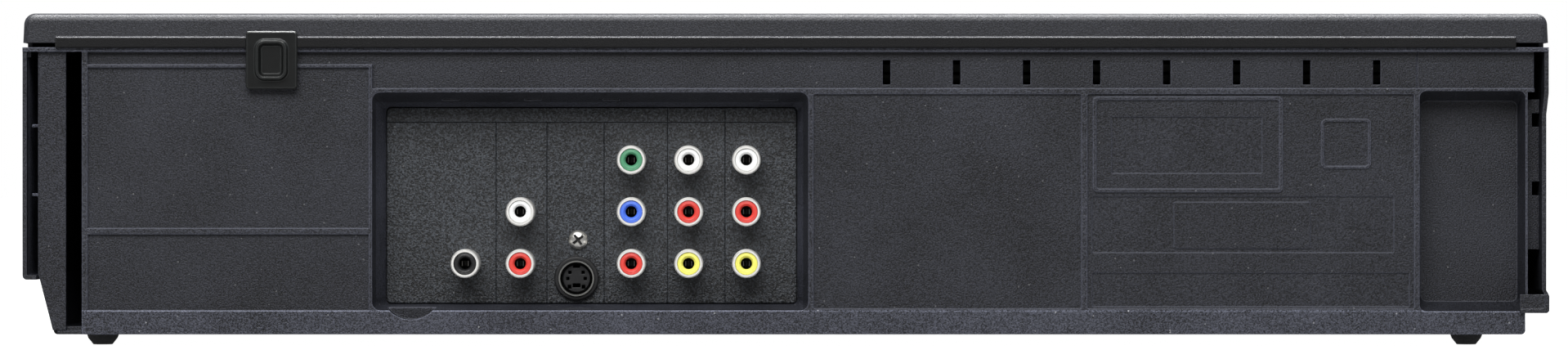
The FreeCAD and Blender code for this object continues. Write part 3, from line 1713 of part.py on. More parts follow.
def vcr_chassis():
    """Pressed deck plate with two side plates, slotted for the slider's pegs."""
    plate = prism(
        "z",
        deck_low,
        deck_top,
        rect(deck_x - deck_outer, deck_x + deck_outer, deck_front, deck_rear, 4.0),
    )
    adds = []
    for side in (-1, 1):
        x0 = deck_x + min(side * deck_inner, side * deck_outer)
        side_plate = prism(
            "x",
            x0,
            x0 + deck_outer - deck_inner,
            [
                (basket_front, deck_low),
                (basket_front, slider_high, 2.0),
                (basket_front + basket_depth + slider_travel, slider_high, 6.0),
                (basket_front + basket_depth + slider_travel + 12, deck_low),
            ],
        )
        adds.append(side_plate)
    for side in (-1, 1):
        adds.append(rod("z", deck_top - 0.5, reel_low + 16, deck_x + side * reel_spacing, reel_y, gear_pin))
    bore = capstan_radius + running_gap
    adds.append(tube("z", deck_top - 0.5, deck_top + 5, capstan_x, capstan_y, capstan_radius + 2.5, bore))
    adds.append(rod("z", deck_top - 0.5, pinch_high, pinch_pivot_x, pinch_pivot_y, gear_pin))
    solid = joined(plate, *adds)
    tools = [rod("z", deck_low - 1, deck_top + 6, capstan_x, capstan_y, bore)]
    for y in slider_pegs_y:
        for side in (-1, 1):
            x0 = deck_x + min(side * (deck_inner - 1), side * (deck_outer + 1))
            low = slider_peg_z - peg_slot
            slot = rect(y - peg_slot, y + slider_travel + peg_slot, low, low + 2 * peg_slot, peg_slot - 0.01)
            tools.append(prism("x", x0, x0 + deck_outer - deck_inner + 2, slot))
    return carved(solid, *tools)


def cassette_slider():
    """Pair of side plates joined by a bar: draws the basket in, with upright slots for the basket's pegs."""
    rear = basket_front + basket_depth
    adds = []
    tools = []
    for side in (-1, 1):
        x0 = deck_x + min(side * slider_inner, side * slider_outer)
        adds.append(prism("x", x0, x0 + basket_wall, rect(basket_front, rear, slider_low, slider_high, 2.0)))
        for y in slider_pegs_y:
            p0 = deck_x + min(side * slider_inner, side * (deck_outer - 0.2))
            adds.append(rod("x", p0, p0 + deck_outer - 0.2 - slider_inner, y, slider_peg_z, peg_radius))
        slot = rect(
            basket_peg_y - peg_slot,
            basket_peg_y + peg_slot,
            basket_peg_z - basket_drop - peg_slot,
            basket_peg_z + peg_slot,
            peg_slot - 0.01,
        )
        tools.append(prism("x", x0 - 0.2, x0 + basket_wall + 0.2, slot))
    bar_front = rear - slider_bar
    low = basket_high + 1.0
    bar = block(deck_x - slider_outer, deck_x + slider_outer, bar_front, rear, low, slider_high - 0.5)
    return carved(joined(bar, *adds), *tools)


def cassette_basket():
    """Folded sheet cage: roof, sides, ledges under the cassette's edges, and pegs in the slider's slots."""
    rear = basket_front + basket_depth
    shell = prism(
        "y",
        basket_front,
        rear,
        [
            (deck_x - basket_outer, basket_low),
            (deck_x - basket_outer, basket_high, 1.0),
            (deck_x + basket_outer, basket_high, 1.0),
            (deck_x + basket_outer, basket_low),
            (deck_x + basket_inner - 11, basket_low),
            (deck_x + basket_inner - 11, basket_low + plate_thick),
            (deck_x + basket_inner, basket_low + plate_thick),
            (deck_x + basket_inner, basket_high - plate_thick),
            (deck_x - basket_inner, basket_high - plate_thick),
            (deck_x - basket_inner, basket_low + plate_thick),
            (deck_x - basket_inner + 11, basket_low + plate_thick),
            (deck_x - basket_inner + 11, basket_low),
        ],
    )
    pegs = []
    for side in (-1, 1):
        x0 = deck_x + min(side * (basket_outer - 0.5), side * (slider_outer - 0.2))
        x1 = x0 + slider_outer - basket_outer + 0.3
        pegs.append(rod("x", x0, x1, basket_peg_y, basket_peg_z, peg_radius))
    roof_hole = prism(
        "z",
        basket_high - 3,
        basket_high + 1,
        rect(deck_x - 60, deck_x + 60, basket_front + 14, rear - 14, 5.0),
    )
    return carved(joined(shell, *pegs), roof_hole)


def tilted(shape):
    """Leans a drum part back about the drum's foot."""
    shape.rotate(Vector(deck_x, drum_y, drum_low), Vector(1, 0, 0), drum_tilt)
    return shape


def drum_base():
    """Lower drum on a wedge that gives it its lean."""
    lower = rod("z", drum_low - 5, drum_low + drum_lower_high, deck_x, drum_y, drum_radius)
    wedge = block(
        deck_x - drum_foot_half,
        deck_x + drum_foot_half,
        drum_y - drum_foot_front,
        drum_y + drum_foot_rear,
        drum_low - 8,
        drum_low + 3,
    )
    lower = tilted(joined(lower, wedge))
    bore = tilted(rod("z", drum_low + 8, drum_low + 60, deck_x, drum_y, drum_shaft + running_gap))
    under = block(deck_x - 60, deck_x + 60, drum_y - 60, drum_y + 60, drum_low - 40, drum_low)
    return carved(lower, bore, under)


def head_drum():
    """Upper drum with its shaft, a hub on top and two head windows at its lower edge."""
    low = drum_low + drum_lower_high + drum_gap
    upper = rod("z", low, low + drum_upper_high, deck_x, drum_y, drum_radius)
    top_edge = [e for e in upper.Edges if e.BoundBox.ZMin > low + 1]
    upper = upper.makeChamfer(1.0, top_edge)
    well = tube("z", low + drum_upper_high - 3, low + drum_upper_high + 1, deck_x, drum_y, 24.0, 10.0)
    windows = []
    for side in (-1, 1):
        x = deck_x + side * drum_radius
        windows.append(block(x - 3, x + 3, drum_y - 2.5, drum_y + 2.5, low - 1, low + 3))
    upper = carved(upper, well, *windows)
    shaft = rod("z", drum_low + 9, low + 1, deck_x, drum_y, drum_shaft)
    return tilted(joined(upper, shaft))


def capstan():
    """Ground shaft through the deck with its flywheel below."""
    shaft = rod("z", flywheel_low - 2, capstan_top, capstan_x, capstan_y, capstan_radius)
    wheel = rod("z", flywheel_low, flywheel_high, capstan_x, capstan_y, flywheel_radius)
    wheel = wheel.cut(tube("z", flywheel_low - 1, flywheel_low + 2.5, capstan_x, capstan_y, 15.0, 6.0))
    return joined(shaft, wheel)


pinch_reach = math.hypot(pinch_pivot_x - capstan_x, pinch_pivot_y - capstan_y)
pinch_heading = math.atan2(capstan_y - pinch_pivot_y, capstan_x - pinch_pivot_x)


def pinch_angle(gap):
    """Angle at the pivot between the capstan and the roller for that gap between their surfaces."""
    apart = pinch_roller + capstan_radius + gap
    return math.acos((pinch_arm ** 2 + pinch_reach ** 2 - apart ** 2) / (2 * pinch_arm * pinch_reach))


def pinch_roller_arm():
    """Lever on its pin with the rubber roller at the other end."""
    heading = pinch_heading + pinch_angle(pinch_rest_gap)
    x = pinch_pivot_x + pinch_arm * math.cos(heading)
    y = pinch_pivot_y + pinch_arm * math.sin(heading)
    roller = rod("z", pinch_low, pinch_high - 6, x, y, pinch_roller)
    boss = rod("z", pinch_low, pinch_high - 1, pinch_pivot_x, pinch_pivot_y, 4.0)
    across = Vector(-math.sin(heading), math.cos(heading), 0) * 3.5
    ends = [Vector(pinch_pivot_x, pinch_pivot_y, 0), Vector(x, y, 0)]
    corners = [ends[0] - across, ends[1] - across, ends[1] + across, ends[0] + across]
    lever = prism("z", pinch_high - 5, pinch_high - 2, [(p.x, p.y) for p in corners])
    tip = rod("z", pinch_high - 7, pinch_high - 2, x, y, 3.5)
    arm = joined(boss, lever, tip, roller)
    return arm.cut(rod("z", pinch_low - 1, pinch_high + 1, pinch_pivot_x, pinch_pivot_y, gear_bore))


def reel(side):
    """Reel table: disc, spindle and three drive fins."""
    x = deck_x + side * reel_spacing
    disc = rod("z", reel_low, reel_low + 4, x, reel_y, reel_radius)
    spindle = rod("z", reel_low + 3.5, reel_low + 17, x, reel_y, 5.0)
    fins = []
    for k in range(3):
        fin = block(0, 8.5, -0.8, 0.8, reel_low + 3.5, reel_low + 14)
        fin.rotate(Vector(0, 0, 0), Vector(0, 0, 1), 120 * k)
        fin.translate(Vector(x, reel_y, 0))
        fins.append(fin)
    return joined(disc, spindle, *fins).cut(rod("z", reel_low - 1, reel_low + 16.2, x, reel_y, gear_bore))


def main_board():
    """L-shaped circuit board with its larger parts."""
    sheet = prism(
        "z",
        board_low,
        board_top,
        [
            (main_left, main_front),
            (main_left, main_rear),
            (jack_part_left, main_rear),
            (jack_part_left, jack_part_rear),
            (jack_part_right, jack_part_rear),
            (jack_part_right, main_rear - 4),
            (main_right, main_rear - 4),
            (main_right, main_front),
        ],
    )
    parts = []
    for x, y, w, d, h in board_parts:
        x0 = main_right + x
        y0 = main_front + y
        parts.append(block(x0, x0 + w, y0, y0 + d, board_top, board_top + h))
    cap_top = board_top + board_cap_high
    for x in board_caps_x:
        parts.append(rod("z", board_top, cap_top, main_right + x, main_rear - 20, board_cap_radius))
    return joined(sheet, *parts)


def power_board():
    """Board with the transformer, two capacitors and a heat sink."""
    sheet = block(power_right, power_left, power_front, power_rear, board_low, board_top)
    core_left = power_left - 26
    core_right = core_left - core_width
    core_front = power_front + 4
    core_rear = core_front + core_depth
    core = block(core_right, core_left, core_front, core_rear, board_top, board_top + core_high)
    out = winding_out
    wound = rect(core_right - out, core_left + out, core_front + out, core_rear - out, out)
    winding = prism("z", board_top + core_high / 5, board_top + core_high * 4 / 5, wound)
    mains_cap = rod(
        "z",
        board_top,
        board_top + mains_cap_high,
        power_left - 14,
        power_front + 15,
        mains_cap_radius,
    )
    output_cap = rod(
        "z",
        board_top,
        board_top + output_cap_high,
        power_right + 10,
        power_front + 10,
        output_cap_radius,
    )
    sink_right = power_right + 5
    sink_left = sink_right + sink_width
    sink_front = power_front + 19
    fins = []
    for k in range(3):
        y = sink_front + k * sink_pitch
        fins.append(block(sink_right, sink_left, y, y + sink_fin, board_top, board_top + sink_high))
    sink_rear = sink_front + 2 * sink_pitch + sink_fin
    sink = block(sink_right, sink_left, sink_front, sink_rear, board_top, board_top + sink_base)
    return joined(sheet, core, winding, mains_cap, output_cap, *fins, sink)


def front_board():
    """Narrow board behind the buttons, with a switch under each stem and the display behind its window."""
    y0 = front_board_front
    y1 = y0 + front_board_thick
    adds = []
    half = switch_half
    for x, z, w, h, r in buttons.values():
        adds.append(block(x - half, x + half, y0 - switch_high, y0, z - half, z + half))
    middle = (window_left + window_right) / 2
    adds.append(
        block(
            middle - display_half,
            middle + display_half,
            y0 - display_rise,
            y1,
            window_low + window_step,
            loader_floor_low - 1.0,
        )
    )
    sheet = block(front_board_right, front_board_left, y0, y1, front_board_low, front_board_high)
    return joined(sheet, *adds)


save("top_cover", top_cover())
save("base_pan", base_pan())
save("rear_panel", rear_panel())
save("left_side_panel", left_side_panel())
save("right_side_panel", right_side_panel())
save("front_panel", front_panel())
save("cord_bushing", cord_bushing())
save("jack_panel", jack_panel())
save("rubber_feet", *[foot(x, y) for x, y in foot_places])
save("base_screws", *[base_screw(x, y) for x, y in screw_places])
save("jack_panel_screw", panel_screw())

places = [(x, rows[row], colour) for x, jacks in jack_columns for colour, row in jacks]
save("rca_shells", *[rca_shell(x, z) for x, z, colour in places])
save("rca_contacts", *[rca_contact(x, z) for x, z, colour in places])
save("rca_blocks", *rca_blocks())
for shade in ("white", "red", "yellow", "green", "blue", "black"):
    save("rca_inserts_" + shade, *[rca_insert(x, z) for x, z, colour in places if colour == shade])
save("svideo_socket", svideo_socket())
save("svideo_insert", svideo_insert())
shield_inner = shield_radius - shield_wall
save("svideo_shield", tube("y", socket_floor, shield_front, socket_x, socket_z, shield_radius, shield_inner))

save("cassette_door", cassette_door())
save("tray_front", tray_front())
save(
    "display_window",
    prism(
        "y",
        front_face - 0.2,
        front_face + window_thick,
        rect(
            window_left + fit_gap,
            window_right - fit_gap,
            window_low + fit_gap,
            window_high - fit_gap,
            2.0,
        ),
    ),
)
for name, (x, z, w, h, r) in buttons.items():
    save(name, push_button(x, z, w, h, r))
save("front_board", front_board())
save("main_board", main_board())
save("power_board", power_board())

save("disc_tray", disc_tray())
save("loader_frame", loader_frame())
save("clamp_bridge", clamp_bridge())
save("disc_clamper", disc_clamper())
save("tray_gear", tray_gear())
save("drive_pulley", drive_pulley())
motor_bore = motor_shaft + running_gap
save("motor_pulley", grooved_pulley(motor_x, motor_pulley_radius, motor_bore, pulley_low, pulley_high))
save("loading_belt", loading_belt())
save("loading_motor", loading_motor())
save("traverse_plate", traverse_plate())
save("spindle_motor", spindle_motor())
save("turntable", turntable())
save("guide_rods", *guide_rods())
save("optical_pickup", optical_pickup())
save("sled_gear", sled_gear())

save("vcr_chassis", vcr_chassis())
save("cassette_slider", cassette_slider())
save("cassette_basket", cassette_basket())
save("drum_base", drum_base())
save("head_drum", head_drum())
save("capstan", capstan())
save("pinch_arm", pinch_roller_arm())
save("supply_reel", reel(-1))
save("take_up_reel", reel(1))
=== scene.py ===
import bmesh
import bpy
import math
import numpy as np
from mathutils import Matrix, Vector


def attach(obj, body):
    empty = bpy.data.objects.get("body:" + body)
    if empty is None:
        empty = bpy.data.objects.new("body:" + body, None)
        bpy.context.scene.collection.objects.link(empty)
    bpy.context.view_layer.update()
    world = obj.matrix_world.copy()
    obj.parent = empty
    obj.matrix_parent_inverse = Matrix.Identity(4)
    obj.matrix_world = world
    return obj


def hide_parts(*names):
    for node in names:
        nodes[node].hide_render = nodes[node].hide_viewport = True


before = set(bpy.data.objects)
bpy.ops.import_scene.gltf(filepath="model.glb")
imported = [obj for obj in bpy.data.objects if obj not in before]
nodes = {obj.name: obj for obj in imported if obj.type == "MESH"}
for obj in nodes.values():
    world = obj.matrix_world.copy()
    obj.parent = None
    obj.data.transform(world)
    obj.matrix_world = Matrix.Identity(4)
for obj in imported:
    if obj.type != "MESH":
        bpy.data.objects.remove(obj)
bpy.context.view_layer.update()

# Outer mouldings: the cover, the pan, the rear wall and the two side skins. All are one charcoal plastic with a
# spark-eroded grain that catches the light in small points. They clip and screw to each other.
grain_high = 0.0003
rounded_edge = 0.0005
rounded_edge_rays = 6
cloud_scale = 35.0
dust_scale = 240.0
dust_radius = 0.06
# Gain of the paler edges, a painted highlight.
edge_highlight_gain = 7.0
least_strength = 0.15
grain_dulling = 0.12


def grain_group():
    """Node group for moulded grain: a fine noise is the height of the grain and a part of its tone, a broad
    noise adds the slow change of tone over a large moulding, rare cells hold a speck of dust, and all edges are
    paler by the angle between the rounded normal and the face's own, a painted highlight."""
    group = bpy.data.node_groups.new("moulded_grain", "ShaderNodeTree")
    face = group.interface
    for name in ("Grain Size", "Depth", "Fine Change", "Broad Change", "Gloss", "Specks", "Edge Highlight"):
        face.new_socket(name, in_out="INPUT", socket_type="NodeSocketFloat")
    face.new_socket("Tone", in_out="INPUT", socket_type="NodeSocketColor")
    face.new_socket("Color", in_out="OUTPUT", socket_type="NodeSocketColor")
    face.new_socket("Roughness", in_out="OUTPUT", socket_type="NodeSocketFloat")
    face.new_socket("Normal", in_out="OUTPUT", socket_type="NodeSocketVector")
    tree = group.nodes
    link = group.links.new
    given = tree.new("NodeGroupInput")
    out = tree.new("NodeGroupOutput")
    place = tree.new("ShaderNodeTexCoord")

    def noise(scale, detail):
        """Noise on the piece's own place; the scale is a number or a socket."""
        node = tree.new("ShaderNodeTexNoise")
        node.inputs["Detail"].default_value = detail
        if isinstance(scale, float):
            node.inputs["Scale"].default_value = scale
        else:
            link(scale, node.inputs["Scale"])
        link(place.outputs["Object"], node.inputs["Vector"])
        return node.outputs["Fac"]

    def worked(operation, first, second, third=0.0):
        """Math node of that operation; each value is a number or a socket."""
        node = tree.new("ShaderNodeMath")
        node.operation = operation
        for socket, value in zip(node.inputs, (first, second, third)):
            if isinstance(value, float):
                socket.default_value = value
            else:
                link(value, socket)
        return node.outputs[0]

    fine = noise(given.outputs["Grain Size"], 2.0)
    broad = noise(cloud_scale, 3.0)
    dust = tree.new("ShaderNodeTexVoronoi")
    dust.inputs["Scale"].default_value = dust_scale
    link(place.outputs["Object"], dust.inputs["Vector"])
    spot = worked("LESS_THAN", dust.outputs["Distance"], dust_radius)
    speck = worked("MULTIPLY", spot, given.outputs["Specks"])
    edge = tree.new("ShaderNodeBevel")
    edge.samples = rounded_edge_rays
    edge.inputs["Radius"].default_value = rounded_edge
    bump = tree.new("ShaderNodeBump")
    bump.inputs["Distance"].default_value = grain_high
    link(edge.outputs["Normal"], bump.inputs["Normal"])
    link(given.outputs["Depth"], bump.inputs["Strength"])
    link(fine, bump.inputs["Height"])
    link(bump.outputs["Normal"], out.inputs["Normal"])
    own = tree.new("ShaderNodeNewGeometry")
    turned_off = tree.new("ShaderNodeVectorMath")
    turned_off.operation = "DOT_PRODUCT"
    link(edge.outputs["Normal"], turned_off.inputs[0])
    link(own.outputs["True Normal"], turned_off.inputs[1])
    bend = worked("SUBTRACT", 1.0, turned_off.outputs["Value"])
    # Edges are paler by how far the rounded normal turns from the face's own, a painted highlight.
    edge_lit = worked("MINIMUM", worked("MULTIPLY", bend, edge_highlight_gain), 1.0)
    edge_part = worked("MULTIPLY", edge_lit, given.outputs["Edge Highlight"])
    fine_part = worked("MULTIPLY", worked("SUBTRACT", fine, 0.5), given.outputs["Fine Change"])
    broad_part = worked("MULTIPLY", worked("SUBTRACT", broad, 0.5), given.outputs["Broad Change"])
    change = worked("ADD", fine_part, broad_part)
    strength = worked("MAXIMUM", worked("ADD", change, worked("ADD", edge_part, 1.0)), least_strength)
    tint = tree.new("ShaderNodeVectorMath")
    tint.operation = "SCALE"
    link(given.outputs["Tone"], tint.inputs[0])
    link(strength, tint.inputs["Scale"])
    dusted = tree.new("ShaderNodeVectorMath")
    dusted.operation = "ADD"
    link(tint.outputs["Vector"], dusted.inputs[0])
    link(speck, dusted.inputs[1])
    link(dusted.outputs["Vector"], out.inputs["Color"])
    link(worked("MULTIPLY_ADD", fine, grain_dulling, given.outputs["Gloss"]), out.inputs["Roughness"])
    return group


moulded_grain = grain_group()


def plastic(
    name, tone, gloss=0.4, grain=1400.0, depth=0.25, fine=0.3, broad=0.1, specks=0.0, coat=0.0, shine=0.5, edge_highlight=0.0
):
    """Moulded plastic with the shared grain: gloss is the least roughness, shine the specular level and the last
    argument the paleness of the edges, a painted highlight."""
    material = bpy.data.materials.new(name)
    material.use_nodes = True
    tree = material.node_tree
    shader = tree.nodes["Principled BSDF"]
    moulded = tree.nodes.new("ShaderNodeGroup")
    moulded.node_tree = moulded_grain
    given = {"Grain Size": grain, "Depth": depth, "Fine Change": fine, "Broad Change": broad, "Gloss": gloss}
    for socket, value in given.items():
        moulded.inputs[socket].default_value = value
    moulded.inputs["Specks"].default_value = specks
    moulded.inputs["Edge Highlight"].default_value = edge_highlight
    moulded.inputs["Tone"].default_value = (*tone, 1.0)
    tree.links.new(moulded.outputs["Color"], shader.inputs["Base Color"])
    tree.links.new(moulded.outputs["Roughness"], shader.inputs["Roughness"])
    tree.links.new(moulded.outputs["Normal"], shader.inputs["Normal"])
    shader.inputs["IOR"].default_value = 1.5
    shader.inputs["Specular IOR Level"].default_value = shine
    shader.inputs["Coat Weight"].default_value = coat
    return material


def box_group():
    """Node group for a mask that is one inside a box of the piece's own place and nought outside it."""
    group = bpy.data.node_groups.new("inside_box", "ShaderNodeTree")
    group.interface.new_socket("Low", in_out="INPUT", socket_type="NodeSocketVector")
    group.interface.new_socket("High", in_out="INPUT", socket_type="NodeSocketVector")
    group.interface.new_socket("Inside", in_out="OUTPUT", socket_type="NodeSocketFloat")
    tree = group.nodes
    given = tree.new("NodeGroupInput")
    out = tree.new("NodeGroupOutput")
    place = tree.new("ShaderNodeTexCoord")
    parts = []
    for socket in (place.outputs["Object"], given.outputs["Low"], given.outputs["High"]):
        split = tree.new("ShaderNodeSeparateXYZ")
        group.links.new(socket, split.inputs[0])
        parts.append(split)
    inside = None
    for axis in range(3):
        for operation, bound in (("GREATER_THAN", parts[1]), ("LESS_THAN", parts[2])):
            test = tree.new("ShaderNodeMath")
            test.operation = operation
            group.links.new(parts[0].outputs[axis], test.inputs[0])
            group.links.new(bound.outputs[axis], test.inputs[1])
            if inside is None:
                inside = test.outputs[0]
                continue
            both = tree.new("ShaderNodeMath")
            both.operation = "MULTIPLY"
            group.links.new(inside, both.inputs[0])
            group.links.new(test.outputs[0], both.inputs[1])
            inside = both.outputs[0]
    group.links.new(inside, out.inputs["Inside"])
    return group


inside_box = box_group()


def zone(material, low, high, tone, roughness, metallic=0.0, blend="MIX"):
    """Another finish inside a box given in millimetres, such as a chip on a board. With the blend MULTIPLY the
    tone multiplies what is there, so the grain stays."""
    tree = material.node_tree
    shader = tree.nodes["Principled BSDF"]
    mask = tree.nodes.new("ShaderNodeGroup")
    mask.node_tree = inside_box
    mask.inputs["Low"].default_value = [v / 1000 for v in low]
    mask.inputs["High"].default_value = [v / 1000 for v in high]
    for name, value in (("Base Color", (*tone, 1.0)), ("Roughness", roughness), ("Metallic", metallic)):
        socket = shader.inputs[name]
        if name == "Metallic" and not socket.is_linked and socket.default_value == value:
            continue
        mix = tree.nodes.new("ShaderNodeMix")
        colour = name == "Base Color"
        mix.data_type = "RGBA" if colour else "FLOAT"
        mix.blend_type = blend if colour else "MIX"
        first, second, result = (6, 7, 2) if colour else (2, 3, 0)
        if socket.is_linked:
            tree.links.new(socket.links[0].from_socket, mix.inputs[first])
        else:
            mix.inputs[first].default_value = socket.default_value
        mix.inputs[second].default_value = value
        tree.links.new(mask.outputs["Inside"], mix.inputs[0])
        tree.links.new(mix.outputs[result], socket)


def give(material, *names):
    """The material goes on every slot of these CAD nodes."""
    for name in names:
        mesh = nodes[name].data
        mesh.materials.clear()
        mesh.materials.append(material)


charcoal_tone = (0.0158, 0.0168, 0.0222)
charcoal = plastic(
    "charcoal_moulding", charcoal_tone, gloss=0.44, grain=2300.0, depth=0.8, fine=4.6, broad=1.3, specks=0.06,
    shine=0.3, edge_highlight=1.3
)
wall_charcoal = plastic(
    "rear_wall_moulding", charcoal_tone, gloss=0.44, grain=2300.0, depth=0.7, fine=4.4, broad=1.6,
    specks=0.07, shine=0.3, edge_highlight=2.6
)
cover_charcoal = plastic(
    "cover_moulding", (0.0180, 0.0188, 0.0240), gloss=0.36, grain=2300.0, depth=0.4, fine=3.0, broad=0.7,
    specks=0.04, shine=0.42, edge_highlight=0.5
)
side = 220
wall_skin_y = 115.3
strip_top = 9.9
shade_low = 81.2
shade_middle = 82.6
rim_low = 83.7
painted_light_roughness = 0.42
wall_zones = (
    # The outer skin, the bottom strip and the rim lighter as painted light, the strip's upper edge a painted
    # highlight, then the painted shadow under the cover's lip in two steps, then the bay's walls and once more its
    # side
    # walls lighter as painted light: low, high, factor of the tone, roughness.
    ((-side, wall_skin_y, 3), (side, 120, 90), 1.5, painted_light_roughness),
    ((-side, wall_skin_y, 3), (side, 120, strip_top), 1.6, painted_light_roughness),
    ((-side, wall_skin_y, strip_top), (side, 120, 10.4), 3.2, painted_light_roughness),
    ((-side, wall_skin_y, rim_low), (side, 120, 85.2), 1.6, painted_light_roughness),
    ((-side, 112.5, shade_middle), (side, 120, rim_low), 0.55, 0.6),
    ((-side, 112.5, shade_low), (side, 120, shade_middle), 0.75, 0.5),
    ((-5, 102, 10.6), (117, 115.2, 69.8), 1.6, painted_light_roughness),
    ((-5, 102, 14), (117, 115.2, 69.8), 1.4, painted_light_roughness),
)
for low, high, factor, roughness in wall_zones:
    zone(wall_charcoal, low, high, 3 * (factor,), roughness, blend="MULTIPLY")
# The hollow between the left skin and its rail is made lighter, a painted light, and the lip's own face is dull
# and made dark, a painted shade.
zone(charcoal, (213.3, -119, 20), (216.7, 112.5, 82), (4, 4, 4), 0.6, blend="MULTIPLY")
zone(cover_charcoal, (-side, 116.6, 84.9), (side, 118, 88.0), (0.12, 0.12, 0.12), 0.9, blend="MULTIPLY")
give(cover_charcoal, "top_cover")
give(wall_charcoal, "rear_panel")
give(charcoal, "base_pan", "left_side_panel", "right_side_panel")

# Jack bay: a flat panel behind the bay's frame in a slightly greener and darker plastic with a coarse grain, held
# by hooks in the frame and one plated screw. The fine grooves between the groups of jacks are painted dark as
# shade, and the panel is darker towards its bottom, a painted shade.
bay_floor_y = 104.5
bay_moulding = plastic(
    "bay_moulding", (0.0182, 0.0204, 0.0242), gloss=0.42, grain=2100.0, depth=1.0, fine=9.0, broad=1.3,
    specks=0.08, shine=0.38, edge_highlight=1.2
)
painted_shade_low = (-6, 100, 9)
zone(bay_moulding, painted_shade_low, (118, bay_floor_y - 0.1, 71), (0.35, 0.35, 0.35), 0.7, blend="MULTIPLY")
zone(bay_moulding, painted_shade_low, (118, 106, 24), (0.88, 0.88, 0.88), 0.46, blend="MULTIPLY")
give(bay_moulding, "jack_panel")


def metal(name, tone, roughness, scratch=0.0, stretch=(1.0, 1.0, 1.0), scale=400.0):
    """Metal finish. A stretched noise gives the faint lines that rolling, turning or brushing leaves."""
    material = bpy.data.materials.new(name)
    material.use_nodes = True
    tree = material.node_tree
    shader = tree.nodes["Principled BSDF"]
    shader.inputs["Base Color"].default_value = (*tone, 1.0)
    shader.inputs["Metallic"].default_value = 1.0
    shader.inputs["Roughness"].default_value = roughness
    place = tree.nodes.new("ShaderNodeTexCoord")
    spread = tree.nodes.new("ShaderNodeMapping")
    spread.inputs["Scale"].default_value = stretch
    noise = tree.nodes.new("ShaderNodeTexNoise")
    noise.inputs["Scale"].default_value = scale
    noise.inputs["Detail"].default_value = 3.0
    bump = tree.nodes.new("ShaderNodeBump")
    bump.inputs["Strength"].default_value = scratch
    bump.inputs["Distance"].default_value = 0.0001
    tree.links.new(place.outputs["Object"], spread.inputs["Vector"])
    tree.links.new(spread.outputs["Vector"], noise.inputs["Vector"])
    tree.links.new(noise.outputs["Fac"], bump.inputs["Height"])
    tree.links.new(bump.outputs["Normal"], shader.inputs["Normal"])
    return material


def piece(name, points, faces, body, *materials):
    """New piece that rides on the body: points in millimetres, faces turned outwards, soft shading except over
    edges of more than 35 degrees."""
    mesh = bpy.data.meshes.new(name)
    mesh.from_pydata((np.asarray(points) / 1000).tolist(), [], faces)
    shell = bmesh.new()
    shell.from_mesh(mesh)
    bmesh.ops.recalc_face_normals(shell, faces=shell.faces)
    shell.to_mesh(mesh)
    shell.free()
    mesh.shade_smooth()
    mesh.set_sharp_from_angle(angle=math.radians(35))
    for material in materials:
        mesh.materials.append(material)
    made = bpy.data.objects.new(name, mesh)
    bpy.context.scene.collection.objects.link(made)
    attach(made, body)
    return made


def ring_faces(rings, turns):
    """Faces of a grid of closed rings: the quads between the rings, then a fan from the first ring to the last
    point but one and a fan from the last ring to the last point."""
    row = np.arange(turns)
    following = np.roll(row, -1)
    start = (np.arange(rings - 1) * turns)[:, None]
    quads = np.stack([start + row, start + following, start + turns + following, start + turns + row], axis=-1)
    base = (rings - 1) * turns
    first_fan = np.stack([np.full(turns, rings * turns), following, row], axis=-1)
    last_fan = np.stack([np.full(turns, rings * turns + 1), base + row, base + following], axis=-1)
    return quads.reshape(-1, 4).tolist() + first_fan.tolist() + last_fan.tolist()


# Panel screw: a plated pan head with a cross recess painted dark as shade, driven through the jack panel into the
# tab of the video socket.
screw_x = 59.55
screw_z = 30.35
screw_head_radius = 2.75
screw_head_high = 1.7
screw_rim_high = 0.55
screw_turn = math.radians(53)
crown_power = 2.6
blade_half_long = 1.75
blade_half_wide = 0.37
blade_deep = 1.0
blade_side_slope = 0.08
blade_tip_slope = 0.15
blade_rise = 0.45
screw_turns = 192
screw_rings = 48


